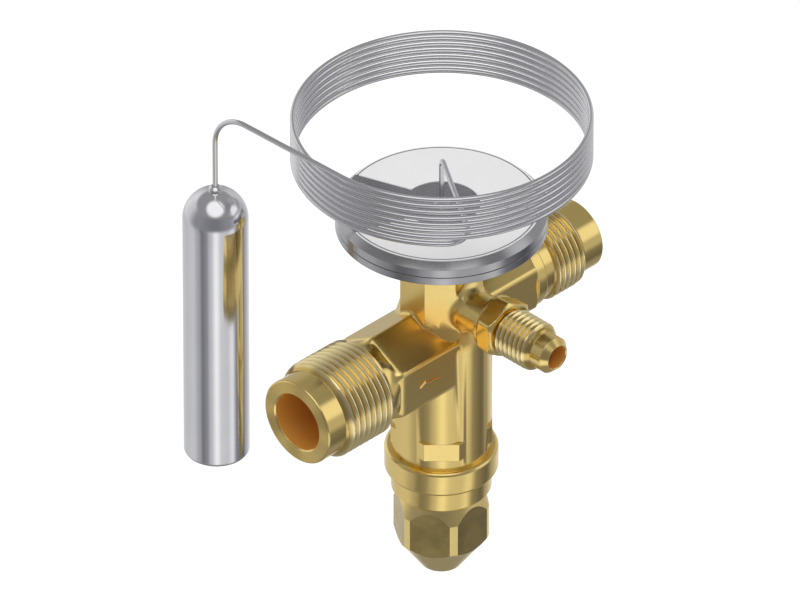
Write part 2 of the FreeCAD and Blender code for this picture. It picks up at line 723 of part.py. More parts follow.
def diaphragm():
    """Thin disc with ring-shaped waves, clamped at its edge between the two shells."""
    low = [(0, DIAPHRAGM_Z)]
    for wave in range(WAVE_COUNT):
        start = WAVE_INNER_R + wave * WAVE_PITCH
        low.append((start, DIAPHRAGM_Z))
        low.append((start + WAVE_WIDTH / 2, DIAPHRAGM_Z + WAVE_HEIGHT))
        low.append((start + WAVE_WIDTH, DIAPHRAGM_Z))
    low.append((HEAD_R - DIAPHRAGM_EDGE_GAP, DIAPHRAGM_Z))
    high = [(radius, height + DIAPHRAGM_THICKNESS) for radius, height in reversed(low)]
    return turned(low + high)


def upper_shell():
    """Domed lid of the head, with the bevelled rim and the flat that takes the label."""
    low = DIAPHRAGM_Z + DIAPHRAGM_THICKNESS
    ceiling = HEAD_TOP_Z - TOP_THICKNESS
    return turned([
        (CHARGE_SPACE_R, low),
        (HEAD_R, low),
        (HEAD_R, RIM_BEVEL_Z),
        (LABEL_SHELF_R, HEAD_TOP_Z),
        (TUBE_R, HEAD_TOP_Z),
        (TUBE_R, ceiling),
        (CHARGE_SPACE_R - TOP_THICKNESS, ceiling),
        (CHARGE_SPACE_R, ceiling - TOP_THICKNESS),
    ])


def thrust_pad():
    """Disc under the diaphragm whose stem presses the push pin down."""
    low = DIAPHRAGM_Z - THRUST_PAD_THICKNESS
    return turned([
        (0, THRUST_STEM_BOTTOM_Z),
        (THRUST_STEM_R, THRUST_STEM_BOTTOM_Z),
        (THRUST_STEM_R, low),
        (THRUST_PAD_R, low),
        (THRUST_PAD_R, DIAPHRAGM_Z),
        (0, DIAPHRAGM_Z),
    ])


def label_plate():
    """Thin round label with a centre hole and an open notch on one side."""
    disc = ring(LABEL_HOLE_R, LABEL_R, HEAD_TOP_Z, HEAD_TOP_Z + LABEL_THICKNESS)
    inner_x, inner_y = NOTCH_INNER
    outer_x, outer_y = NOTCH_OUTER
    slope = (outer_y - inner_y) / (outer_x - inner_x)
    far_y = outer_y + slope * (LABEL_R - outer_x)
    start_y = inner_y - slope * inner_x
    corners = [(0, start_y), (LABEL_R, far_y), (LABEL_R, -far_y), (0, -start_y), (0, start_y)]
    outline = Part.makePolygon([Vector(x, y, HEAD_TOP_Z) for x, y in corners])
    notch = Part.Face(outline).extrude(Vector(0, 0, LABEL_THICKNESS))
    notch.rotate(Vector(0, 0, 0), Vector(0, 0, 1), NOTCH_ANGLE)
    return disc.cut(notch)


def capillary_ferrule():
    """Flared collar where the capillary is brazed into the head."""
    return turned([
        (TUBE_R, HEAD_TOP_Z),
        (FERRULE_R, HEAD_TOP_Z),
        (FERRULE_WAIST_R, HEAD_TOP_Z + FERRULE_FOOT_HEIGHT),
        (TUBE_R + FERRULE_LIP, HEAD_TOP_Z + FERRULE_HEIGHT),
        (TUBE_R, HEAD_TOP_Z + FERRULE_HEIGHT),
    ])


def capillary_path():
    """Centre line of the capillary: leg, radial run, coil going up, lead and drop to the bulb."""
    up = Vector(0, 0, 1)
    run = Vector(cos(radians(RUN_ANGLE)), sin(radians(RUN_ANGLE)), 0)
    run_z = LEG_TOP_Z + LEG_BEND_R
    entry = COIL_R - COIL_ENTRY_BEND_R
    swing = asin(COIL_ENTRY_BEND_R / entry)
    first_angle = RUN_ANGLE - degrees(swing)

    def on_coil(turn):
        angle = radians(first_angle - turn)
        return Vector(COIL_R * cos(angle), COIL_R * sin(angle), run_z + COIL_PITCH * turn / 360)

    run_start = up * run_z + run * LEG_BEND_R
    run_end = up * run_z + run * (entry * cos(swing))
    edges = [
        Part.makeLine(up * (HEAD_TOP_Z - TOP_THICKNESS), up * LEG_TOP_Z),
        tangent_arc(up * LEG_TOP_Z, up, run_start),
        Part.makeLine(run_start, run_end),
        tangent_arc(run_end, run, on_coil(0)),
    ]
    turns = [180 * step for step in range(1, 2 * COIL_TURNS + 1)]
    turns.append(360 * COIL_TURNS + first_angle - COIL_LEAD_ANGLE)
    edges += winding(*end_of(edges[-1]), [on_coil(turn) for turn in turns])

    here, heading = end_of(edges[-1])
    level = Vector(heading.x, heading.y, 0).normalize()
    lead_end = here + heading * LEAD_LENGTH
    inward = level * heading.z - up * heading.dot(level)
    drop_start = lead_end + (inward + level) * LEAD_BEND_R
    bulb_top = BULB_SHOULDER_Z + BULB_R + BULB_NECK_HEIGHT
    edges.append(Part.makeLine(here, lead_end))
    edges.append(tangent_arc(lead_end, heading, drop_start))
    edges.append(Part.makeLine(drop_start, Vector(drop_start.x, drop_start.y, bulb_top)))
    return edges


def capillary_tube():
    """The whole capillary swept along its centre line, with an eight-sided section."""
    path = capillary_path()
    start = path[0].valueAt(path[0].FirstParameter)
    angles = [2 * pi * step / TUBE_SIDES for step in range(TUBE_SIDES + 1)]
    corners = [start + Vector(TUBE_R * cos(angle), TUBE_R * sin(angle), 0) for angle in angles]
    return Part.Wire(path).makePipe(Part.Face(Part.makePolygon(corners)))


def sensing_bulb():
    """Sealed bulb with a domed top, the neck that takes the capillary and a rounded foot."""
    middle = BULB_R / sqrt(2)
    low = Vector(0, 0, BULB_BOTTOM_Z)
    side_low = Vector(BULB_R, 0, BULB_BOTTOM_Z)
    side_high = Vector(BULB_R, 0, BULB_SHOULDER_Z)
    crown = Vector(0, 0, BULB_SHOULDER_Z + BULB_R)
    dome = Part.Arc(side_high, Vector(middle, 0, BULB_SHOULDER_Z + middle), crown).toShape()
    foot_line = Part.makeLine(low, side_low)
    side_line = Part.makeLine(side_low, side_high)
    lines = [foot_line, side_line, dome, Part.makeLine(crown, low)]
    solid = Part.Face(Part.Wire(lines)).revolve(Vector(0, 0, 0), Vector(0, 0, 1), 360)
    foot = edges_near(solid, lambda point: point.z < BULB_BOTTOM_Z + 1e-6 and abs(point.x) > BULB_R / 2)
    solid = solid.makeFillet(BULB_BOTTOM_EDGE, foot)
    neck = turned([
        (0, BULB_SHOULDER_Z),
        (BULB_NECK_R, BULB_SHOULDER_Z),
        (BULB_NECK_R, crown.z + BULB_NECK_HEIGHT - BULB_NECK_R + BULB_NECK_TOP_R),
        (BULB_NECK_TOP_R, crown.z + BULB_NECK_HEIGHT),
        (0, crown.z + BULB_NECK_HEIGHT),
    ])
    solid = solid.fuse(neck)
    top, _ = end_of(capillary_path()[-1])
    solid.translate(Vector(top.x, top.y, 0))
    return solid


def write(name, solid):
    """One STEP file for one node."""
    print(name, solid.isValid(), len(solid.Solids), round(solid.Volume, 1), flush=True)
    solid.exportStep("parts/" + name + ".step")


if __name__ == "__main__":
    os.makedirs("parts", exist_ok=True)
    write("valve_body", valve_body())
    write("orifice_insert", orifice_insert())
    write("orifice_seal", orifice_seal())
    write("pin_guide", pin_guide())
    write("pin_seal", pin_seal())
    write("push_pin", push_pin())
    write("valve_cone", valve_cone())
    write("spring_carrier", spring_carrier())
    write("superheat_spring", superheat_spring())
    write("spring_seat", spring_seat())
    write("adjusting_spindle", adjusting_spindle())
    write("spindle_seal", spindle_seal())
    write("retaining_ring", retaining_ring())
    write("spindle_housing", spindle_housing())
    write("housing_seal", housing_seal())
    write("cap_gasket", cap_gasket())
    write("seal_cap", seal_cap())
    write("equalizer_fitting", equalizer_fitting())
    write("inlet_strainer", inlet_strainer())
    write("element_hub", element_hub())
    write("lower_shell", lower_shell())
    write("diaphragm", diaphragm())
    write("upper_shell", upper_shell())
    write("thrust_pad", thrust_pad())
    write("label_plate", label_plate())
    write("capillary_ferrule", capillary_ferrule())
    write("capillary_tube", capillary_tube())
    write("sensing_bulb", sensing_bulb())
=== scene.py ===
# %% [markdown]
# # An expansion valve, dressed for its portrait
# The frame holds every piece of the valve at its real size: the forged brass body, the steel
# head with its coiled capillary, the sensing bulb and the parts inside. This lesson adds what
# the eye expects on top of it: real screw threads, a round capillary, turned and forged brass,
# polished steel, and the light of a small studio. All lengths in the frame are metres.

# %% Load the frame
from math import asin, atan2, ceil, cos, pi, radians, sin, sqrt

import bmesh
import bpy
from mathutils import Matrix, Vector


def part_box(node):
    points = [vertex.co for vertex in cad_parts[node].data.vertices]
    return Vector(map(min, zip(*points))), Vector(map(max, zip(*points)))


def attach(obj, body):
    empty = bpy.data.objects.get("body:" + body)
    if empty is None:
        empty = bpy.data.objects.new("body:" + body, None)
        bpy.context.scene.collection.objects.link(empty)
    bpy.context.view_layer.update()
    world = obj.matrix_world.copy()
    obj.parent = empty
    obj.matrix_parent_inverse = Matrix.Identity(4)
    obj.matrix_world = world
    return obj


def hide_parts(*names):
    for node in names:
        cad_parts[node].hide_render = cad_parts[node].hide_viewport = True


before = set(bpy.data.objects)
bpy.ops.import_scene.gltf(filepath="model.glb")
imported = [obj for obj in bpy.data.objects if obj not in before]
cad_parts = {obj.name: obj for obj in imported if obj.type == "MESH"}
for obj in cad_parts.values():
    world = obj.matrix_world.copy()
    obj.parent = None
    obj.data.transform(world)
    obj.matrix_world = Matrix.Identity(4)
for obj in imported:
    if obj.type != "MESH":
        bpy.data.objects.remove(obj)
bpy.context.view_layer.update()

MM = 0.001

# %% [markdown]
# ## Small helpers for shader nodes
# A material is a tree of nodes. Writing one by hand takes many lines, so one helper adds a node
# and fills its sockets: a socket given to it is linked, and a plain value is typed in. Short ones
# follow for the steps that every material repeats. One more starts a node group, which is an
# effect with named inputs and outputs that several materials share, each with its own values.

# %% Node helpers


def fill_sockets(tree, node, values):
    """Links each socket that is given to an input of the node, and types in each plain value."""
    for place, value in values.items():
        if isinstance(value, bpy.types.NodeSocket):
            tree.links.new(value, node.inputs[place])
        else:
            node.inputs[place].default_value = value
    return node


def add_node(tree, kind, inputs=None, **settings):
    """Adds one shader node, sets its options and fills its sockets by name or by place."""
    node = tree.nodes.new("ShaderNode" + kind)
    for option, value in settings.items():
        setattr(node, option, value)
    return fill_sockets(tree, node, inputs or {})


def start_group(name, inputs, outputs):
    """Makes an empty node group and returns its tree, its input sockets and its output node."""
    tree = bpy.data.node_groups.new(name, "ShaderNodeTree")
    for label, kind, value in inputs:
        tree.interface.new_socket(name=label, in_out="INPUT", socket_type=kind).default_value = value
    for label, kind in outputs:
        tree.interface.new_socket(name=label, in_out="OUTPUT", socket_type=kind)
    return tree, tree.nodes.new("NodeGroupInput").outputs, tree.nodes.new("NodeGroupOutput").inputs


def use_group(tree, group, inputs):
    """Places a node group in a material with the values of that material."""
    node = tree.nodes.new("ShaderNodeGroup")
    node.node_tree = group
    return fill_sockets(tree, node, inputs).outputs


def arithmetic(tree, operation, *values):
    """One step of arithmetic on numbers, as a socket."""
    return add_node(tree, "Math", dict(enumerate(values)), operation=operation).outputs[0]


def vector_step(tree, operation, *values):
    """One step of arithmetic on vectors, as a node."""
    return add_node(tree, "VectorMath", dict(enumerate(values)), operation=operation)


def mix_colours(tree, amount, first, second):
    """Two colours mixed, as a socket."""
    return add_node(tree, "MixRGB", {"Fac": amount, "Color1": first, "Color2": second}).outputs[0]


def spread(tree, value, source, target=(0.0, 1.0), kind="LINEAR"):
    """A value carried from one range to another and held at both ends, as a socket."""
    return add_node(tree, "MapRange", {
        "Value": value, "From Min": source[0], "From Max": source[1],
        "To Min": target[0], "To Max": target[1],
    }, interpolation_type=kind).outputs[0]


def noise(tree, place, scale, detail, roughness=0.5):
    """A cloudy noise, as a socket."""
    return add_node(tree, "TexNoise", {
        "Vector": place, "Scale": scale, "Detail": detail, "Roughness": roughness,
    }).outputs[0]


def object_place(tree):
    """The place of a point in the frame's own metres, as a socket."""
    return add_node(tree, "TexCoord").outputs["Object"]


print("helpers are ready")

# %% [markdown]
# ## Marks of the lathe
# A turned surface carries fine rings where the tool passed. They run round the axis of the
# piece, so the pattern is a noise that changes quickly along the axis and outward from it, and
# hardly at all round it. Measuring the distance from the axis in the shader keeps the rings true
# on cylinders, cones and flat faces alike, which an unwrapped picture would not.

# %% The turning marks group
FLOAT, VECTOR = "NodeSocketFloat", "NodeSocketVector"
RINGS_PER_METRE = 6000.0
DRIFT_SCALE = 90.0


def turning_marks_group():
    """Rings about an axis: a fine streak value, a slow drift and the distance from the axis."""
    tree, given, result = start_group(
        "turning_marks",
        [("Centre", VECTOR, (0, 0, 0)), ("Axis", VECTOR, (0, 0, 1)),
         ("Rings per metre", FLOAT, RINGS_PER_METRE)],
        [("Streaks", FLOAT), ("Drift", FLOAT), ("Radius", FLOAT)],
    )
    place = object_place(tree)
    arm = vector_step(tree, "SUBTRACT", place, given["Centre"]).outputs[0]
    along = vector_step(tree, "DOT_PRODUCT", arm, given["Axis"]).outputs["Value"]
    foot = vector_step(tree, "MULTIPLY", given["Axis"], along).outputs[0]
    outward = vector_step(tree, "SUBTRACT", arm, foot).outputs[0]
    radius = vector_step(tree, "LENGTH", outward).outputs["Value"]
    facing = vector_step(tree, "NORMALIZE", outward).outputs[0]
    fine = add_node(tree, "CombineXYZ", {
        0: arithmetic(tree, "MULTIPLY", radius, given["Rings per metre"]),
        1: arithmetic(tree, "MULTIPLY", along, given["Rings per metre"]),
    }).outputs[0]
    swept = vector_step(tree, "ADD", fine, facing).outputs[0]
    tree.links.new(noise(tree, swept, 1.0, 3.0, 0.7), result["Streaks"])
    tree.links.new(noise(tree, place, DRIFT_SCALE, 3.0), result["Drift"])
    tree.links.new(radius, result["Radius"])
    return tree


turning_marks = turning_marks_group()
print("group", turning_marks.name, "with", len(turning_marks.nodes), "nodes")

# %% [markdown]
# ## Skin of a forging
# Hot brass pressed between dies comes out with a faint pebbled skin and slow waves, which only
# show as small bends in a reflection. Two noises of different size make it: a fine one for the
# pebbles and a broad one for the waves. The same group serves drawn steel, rubber and foil with
# other values.

# %% The forged skin group
WAVE_SCALE = 160.0
PATCH_SCALE = 70.0


def forged_skin_group():
    """Pebbles and slow waves, as a height for bump, and a broad patchiness for colour."""
    tree, given, result = start_group(
        "forged_skin",
        [("Pebbles per metre", FLOAT, 1400.0), ("Wave share", FLOAT, 0.5)],
        [("Height", FLOAT), ("Patches", FLOAT)],
    )
    place = object_place(tree)
    pebbles = noise(tree, place, given["Pebbles per metre"], 2.0)
    lift = arithmetic(tree, "MULTIPLY", noise(tree, place, WAVE_SCALE, 1.0), given["Wave share"])
    tree.links.new(arithmetic(tree, "ADD", pebbles, lift), result["Height"])
    tree.links.new(noise(tree, place, PATCH_SCALE, 4.0, 0.6), result["Patches"])
    return tree


forged_skin = forged_skin_group()
print("group", forged_skin.name, "with", len(forged_skin.nodes), "nodes")

# %% [markdown]
# ## Edges that catch the light
# No machined edge is razor sharp. The tumbling drum rounds each one by a tenth of a millimetre,
# and that thin round is what draws the bright lines round a hexagon. The Bevel node gives the
# normal that such a rounded edge would have. Where it turns away from the flat face, the colour is
# made paler: partly the polish of handling, and partly a painted highlight along the edge.

# %% The rounded edges group
EDGE_LIKENESS = (0.995, 0.90)
BEVEL_SAMPLES = 6


def rounded_edges_group():
    """The normal of softened edges, and a mask that is 1 along them."""
    tree, given, result = start_group(
        "rounded_edges", [("Radius", FLOAT, 0.15 * MM)], [("Normal", VECTOR), ("Edge", FLOAT)],
    )
    soft = add_node(tree, "Bevel", {"Radius": given["Radius"]}, samples=BEVEL_SAMPLES).outputs[0]
    flat = add_node(tree, "NewGeometry").outputs["Normal"]
    likeness = vector_step(tree, "DOT_PRODUCT", soft, flat).outputs["Value"]
    tree.links.new(soft, result["Normal"])
    tree.links.new(spread(tree, likeness, EDGE_LIKENESS), result["Edge"])
    return tree


rounded_edges = rounded_edges_group()
print("group", rounded_edges.name, "with", len(rounded_edges.nodes), "nodes")

# %% [markdown]
# ## Colours of the metals
# Freshly cut brass is a pale yellow. The forging is tinted a warmer orange near a point beside the
# post, between the outlet arm and the side boss. A colour of a metal is the colour of its
# reflection, so each is written down once and the light does the rest, apart from the painted
# highlights on edges and thread crests, the painted shade in thread roots and the painted bounce
# light in the bores. Each finish drifts between two of them.

# %% Metal colours
BRASS = (0.91, 0.71, 0.28, 1)
BRASS_WARM = (0.86, 0.63, 0.21, 1)
STEEL = (0.62, 0.62, 0.635, 1)
STEEL_DARK = (0.54, 0.54, 0.56, 1)
SPRING_DARK = (0.30, 0.29, 0.30, 1)
HEAD_TONE = (0.50, 0.50, 0.515, 1)
HEAD_SHADE = (0.40, 0.40, 0.415, 1)
TUBE_BRIGHT = (0.76, 0.76, 0.78, 1)
TUBE_DULL = (0.68, 0.68, 0.70, 1)
CHROME = (0.80, 0.80, 0.82, 1)
CHROME_DARK = (0.70, 0.70, 0.73, 1)
# The cap's six upright flats are made darker and browner, in patches.
CAP_FLATS_DARK = (0.36, 0.28, 0.10, 1)
# Bores: the deep orange of light bouncing between brass walls, painted into their colour.
BORE_PAINTED_BOUNCE = (0.98, 0.58, 0.13, 1)
BORE_PAINTED_BOUNCE_DEEP = (0.90, 0.46, 0.08, 1)
# Threads: a paler crest, partly polish and partly a painted highlight, and a root darkened as painted shade.
CREST_POLISH_AND_HIGHLIGHT = (1.0, 0.86, 0.47, 1)
ROOT_PAINTED_SHADE = (0.66, 0.46, 0.14, 1)
BRAZE = (0.75, 0.68, 0.50, 1)
COPPER = (0.80, 0.42, 0.26, 1)
COPPER_DARK = (0.66, 0.33, 0.20, 1)
# Edges: a paler colour, partly the polish of handling and partly a painted highlight.
EDGE_WEAR_AND_HIGHLIGHT_COLOUR = (1, 0.97, 0.86, 1)
EDGE_WEAR_AND_HIGHLIGHT = 0.35
# A warmer orange tint on the forging near a point beside the post, fading out over its reach.
WARM_TINT_COLOUR = (0.98, 0.57, 0.13, 1)
WARM_TINT_CENTRE = (-10 * MM, -7 * MM, 6 * MM)
WARM_TINT_REACH = (13.0 * MM, 5.2 * MM)
print("the heat tint reaches", WARM_TINT_REACH[0] / MM, "mm from the brazed joint")

# %% [markdown]
# ## Metals
# Every metal here is the same recipe with other values: a colour that drifts a little over the
# surface, a roughness that follows the grain, a bump that is only microns high, and softened
# edges. A turned metal takes its grain from the lathe marks about its own axis, and a formed one
# from the forged skin. Writing the recipe once keeps the materials related, as they are on the
# real valve, where most pieces come from the same bars.

# %% Metal recipes
TURNED_EDGE = 0.12 * MM
FORMED_EDGE = 0.15 * MM
GRAIN_RANGE = (0.3, 0.7)


def blank_material(name):
    """A material with only its output node."""
    material = bpy.data.materials.new(name)
    material.use_nodes = True
    tree = material.node_tree
    tree.nodes.clear()
    return material, tree, tree.nodes.new("ShaderNodeOutputMaterial").inputs["Surface"]


def warm_tint_mask(tree):
    """1 near a point beside the post and 0 away from it."""
    distance = vector_step(tree, "DISTANCE", object_place(tree), WARM_TINT_CENTRE).outputs["Value"]
    return spread(tree, distance, WARM_TINT_REACH, kind="SMOOTHSTEP")


def finish_metal(tree, surface, colours, grain, tone, roughness, height, edge_radius, warm_tint=0.0):
    """Joins grain, tone and edges into one metal surface, the edges paler as polish and painted highlight.
    """
    edges = use_group(tree, rounded_edges, {"Radius": edge_radius})
    colour = mix_colours(tree, tone, colours[0], colours[1])
    if warm_tint:
        amount = arithmetic(tree, "MULTIPLY", warm_tint_mask(tree), warm_tint)
        colour = mix_colours(tree, amount, colour, WARM_TINT_COLOUR)
    # Paler along the edges: partly polish from handling, partly a painted highlight.
    edge_wear_and_highlight = arithmetic(tree, "MULTIPLY", edges["Edge"], EDGE_WEAR_AND_HIGHLIGHT)
    bump = add_node(tree, "Bump", {
        "Strength": 1.0, "Distance": height, "Height": grain, "Normal": edges["Normal"],
    }).outputs[0]
    shader = add_node(tree, "BsdfPrincipled", {
        "Base Color": mix_colours(tree, edge_wear_and_highlight, colour, EDGE_WEAR_AND_HIGHLIGHT_COLOUR),
        "Roughness": spread(tree, grain, GRAIN_RANGE, roughness),
        "Normal": bump, "Metallic": 1.0,
    })
    tree.links.new(shader.outputs[0], surface)
    return shader


def turned_metal(name, colours, centre, axis, roughness=(0.16, 0.26), height=1.2e-6, sheen=0.5, crest_and_root_radii=None):
    """Metal cut on a lathe about an axis. On threads: painted shade at the root radius, polish and painted
    highlight at the crest.
    """
    material, tree, surface = blank_material(name)
    marks = use_group(tree, turning_marks, {"Centre": centre, "Axis": axis})
    # On a thread the colour follows the radius: painted shade in the root, polish and a painted highlight on
    # the crest.
    tone = spread(tree, marks["Radius"], crest_and_root_radii, (1.0, 0.0)) if crest_and_root_radii else marks["Drift"]
    shader = finish_metal(tree, surface, colours, marks["Streaks"], tone, roughness, height, TURNED_EDGE)
    place = add_node(tree, "TexCoord").outputs
    arm = vector_step(tree, "SUBTRACT", place["Object"], centre).outputs[0]
    around = vector_step(tree, "CROSS_PRODUCT", axis, arm).outputs[0]
    across = vector_step(tree, "CROSS_PRODUCT", place["Normal"], around).outputs[0]
    tree.links.new(across, shader.inputs["Tangent"])
    shader.inputs["Anisotropic"].default_value = sheen
    return material


def formed_metal(name, colours, roughness=(0.16, 0.24), height=2.0e-6, pebbles=1400.0, warm_tint=0.0):
    """Metal that was forged, pressed or drawn."""
    material, tree, surface = blank_material(name)
    skin = use_group(tree, forged_skin, {"Pebbles per metre": pebbles})
    finish_metal(
        tree, surface, colours, skin["Height"], skin["Patches"], roughness, height, FORMED_EDGE, warm_tint,
    )
    return material


print("edges are softened by", TURNED_EDGE / MM, "mm when turned and", FORMED_EDGE / MM, "mm when formed")

# %% [markdown]
# ## The cap with darker flats
# The cap is made from a hexagon bar. Its cone and its shoulder are bright from the lathe, and its
# six flats are darker and browner, in patches. A mask could be painted by hand.
# Here it is worked out: a face is a flat where it stands upright and lies no further from the stem
# axis than half the width across the flats.

# %% Cap brass
CAP_HALF_FLATS = 9.5 * MM
FLAT_PLAY = 0.1 * MM
UPRIGHT_SLANT = 0.1
DARKENING_PATCHES = (0.35, 0.65)
DARKENING_AMOUNTS = (0.35, 1.0)


def darkened_flats(tree, patches):
    """How much darker the cap's flats are, and 0 elsewhere."""
    place = add_node(tree, "TexCoord").outputs
    level = vector_step(tree, "MULTIPLY", place["Object"], (1, 1, 0)).outputs[0]
    reach = vector_step(tree, "DOT_PRODUCT", level, place["Normal"]).outputs["Value"]
    near = arithmetic(tree, "LESS_THAN", reach, CAP_HALF_FLATS + FLAT_PLAY)
    slant = arithmetic(tree, "ABSOLUTE", add_node(tree, "SeparateXYZ", {0: place["Normal"]}).outputs[2])
    upright = arithmetic(tree, "LESS_THAN", slant, UPRIGHT_SLANT)
    amount = spread(tree, patches, DARKENING_PATCHES, DARKENING_AMOUNTS)
    return arithmetic(tree, "MULTIPLY", arithmetic(tree, "MULTIPLY", near, upright), amount)


def darkened_cap():
    """Cap brass: bright where it was turned, and darker in patches on the six flats."""
    material, tree, surface = blank_material("cap_brass")
    skin = use_group(tree, forged_skin, {"Pebbles per metre": 700.0})
    tone = darkened_flats(tree, skin["Patches"])
    finish_metal(tree, surface, (BRASS, CAP_FLATS_DARK), skin["Height"], tone, (0.15, 0.24), 0.4e-6, FORMED_EDGE)
    return material


cap_brass = darkened_cap()
print(cap_brass.name, "is stained on flats", 2 * CAP_HALF_FLATS / MM, "mm apart")

# %% [markdown]
# ## The metals of this valve
# Each operation leaves its own finish: the forging's skin, the barrel and the ends from the lathe,
# the duller end face where the tool ran across the axis, threads with polished crests, and the
# bores. On the threads the crests also get a painted highlight and the roots painted shade, and the
# bores are painted with the deep orange of light that bounces between their brass walls. The steel
# of the head is turned too, and the bulb is polished. Each turned finish names its own axis,
# because the rings run round it.

# %% Metals
UP, ACROSS, TO_SIDE = (0, 0, 1), (1, 0, 0), (0, 1, 0)
STEM_AXIS = (0, 0, 0)
INLET_AXIS = (0, 0, 7.4 * MM)
EQUALIZER_AXIS = (0, 0, 12.5 * MM)
bulb_low, bulb_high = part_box("sensing_bulb")
BULB_AXIS = ((bulb_low.x + bulb_high.x) / 2, (bulb_low.y + bulb_high.y) / 2, 0)
THREAD_POLISH = (0.11, 0.18)
BORE_PAINTED_BOUNCE_METALLIC = 0.6
YELLOW = (BRASS, BRASS_WARM)
# The thread colours: a painted highlight with polish on the crests, painted shade in the roots.
CREST_HIGHLIGHT_ROOT_SHADE = (CREST_POLISH_AND_HIGHLIGHT, ROOT_PAINTED_SHADE)

forged_brass = formed_metal("forged_brass", YELLOW, (0.20, 0.26), 0.8e-6, warm_tint=0.6)
barrel_brass = turned_metal("barrel_brass", YELLOW, STEM_AXIS, UP)
outlet_brass = turned_metal("outlet_brass", YELLOW, STEM_AXIS, ACROSS, THREAD_POLISH)
inlet_brass = turned_metal("inlet_brass", YELLOW, INLET_AXIS, ACROSS, THREAD_POLISH)
equalizer_brass = turned_metal("equalizer_brass", YELLOW, EQUALIZER_AXIS, TO_SIDE, THREAD_POLISH)
face_brass = turned_metal("face_brass", YELLOW, STEM_AXIS, ACROSS, (0.42, 0.50), 1.2e-6, 1.0)
outlet_thread = turned_metal(
    "outlet_thread", CREST_HIGHLIGHT_ROOT_SHADE, STEM_AXIS, ACROSS, THREAD_POLISH, crest_and_root_radii=(10.2 * MM, 10.95 * MM),
)
inlet_thread = turned_metal(
    "inlet_thread", CREST_HIGHLIGHT_ROOT_SHADE, INLET_AXIS, ACROSS, THREAD_POLISH, crest_and_root_radii=(8.7 * MM, 9.4 * MM),
)
side_thread = turned_metal(
    "side_thread", CREST_HIGHLIGHT_ROOT_SHADE, EQUALIZER_AXIS, TO_SIDE, THREAD_POLISH, crest_and_root_radii=(4.85 * MM, 5.45 * MM),
)
# The bores are painted with bounce light: a deep orange that is partly dull, so that it glows under the even
# light.
bore_painted_bounce = formed_metal("bore_painted_bounce", (BORE_PAINTED_BOUNCE, BORE_PAINTED_BOUNCE_DEEP), (0.26, 0.40), 1.5e-6, 1200.0)
bore_painted_bounce.node_tree.nodes["Principled BSDF"].inputs["Metallic"].default_value = BORE_PAINTED_BOUNCE_METALLIC
head_steel = turned_metal("head_steel", (HEAD_TONE, HEAD_SHADE), STEM_AXIS, UP, (0.14, 0.22), 0.6e-6)
bulb_steel = turned_metal("bulb_steel", (CHROME, CHROME_DARK), BULB_AXIS, UP, (0.10, 0.15), 0.3e-6)
tube_steel = formed_metal("tube_steel", (TUBE_BRIGHT, TUBE_DULL), (0.12, 0.18), 0.3e-6, 300.0)
hard_steel = turned_metal("hard_steel", (STEEL_DARK, STEEL), STEM_AXIS, UP, (0.10, 0.18), 0.5e-6)
spring_steel = formed_metal("spring_steel", (STEEL_DARK, SPRING_DARK), (0.22, 0.34))
braze_alloy = formed_metal("braze_alloy", (BRAZE, STEEL), (0.2, 0.35), 4.0e-6, 2500.0)
gasket_copper = turned_metal("gasket_copper", (COPPER, COPPER_DARK), STEM_AXIS, UP)
print("materials so far:", len(bpy.data.materials))

# %% [markdown]
# ## Seals and label
# The seals are a black elastomer with a dull, faintly dusty surface. The label is a pale printed
# foil: a fine dark ring follows its rim and one thin rule divides it, and the rest is left bare.
# Both marks come from the distance to an edge, measured in the shader, so they stay sharp at any
# size.

# %% Rubber and printed foil
RUBBER, RUBBER_BLOOM = (0.012, 0.012, 0.013, 1), (0.035, 0.034, 0.033, 1)
FOIL, FOIL_SHADE, INK = (0.90, 0.90, 0.90, 1), (0.84, 0.84, 0.845, 1), (0.10, 0.10, 0.11, 1)
LABEL_RING_RADIUS = 20.9 * MM
LABEL_RING_WIDTH = 0.26 * MM
LABEL_RULE_WIDTH = 0.30 * MM
LABEL_RULE_DROP = -1.6 * MM
RULE_INK = 0.6
LINE_FADE = (0.75, 0.35)


def soft_surface(tree, surface, colour, height, strength, depth, roughness):
    """A surface without metal: a colour, a faint bump and one roughness."""
    bump = add_node(tree, "Bump", {"Strength": strength, "Distance": depth, "Height": height}).outputs[0]
    shader = add_node(tree, "BsdfPrincipled", {"Base Color": colour, "Roughness": roughness, "Normal": bump})
    tree.links.new(shader.outputs[0], surface)


def rubber_material():
    """Black elastomer with a faint bloom."""
    material, tree, surface = blank_material("soft_seal")
    skin = use_group(tree, forged_skin, {"Pebbles per metre": 5000.0})
    colour = mix_colours(tree, skin["Patches"], RUBBER, RUBBER_BLOOM)
    soft_surface(tree, surface, colour, skin["Height"], 0.5, 4.0e-6, 0.55)
    return material


def line_mask(tree, distance, width):
    """1 where the distance is within half the width of zero, with a soft edge."""
    limits = [width * share for share in LINE_FADE]
    return spread(tree, arithmetic(tree, "ABSOLUTE", distance), limits)


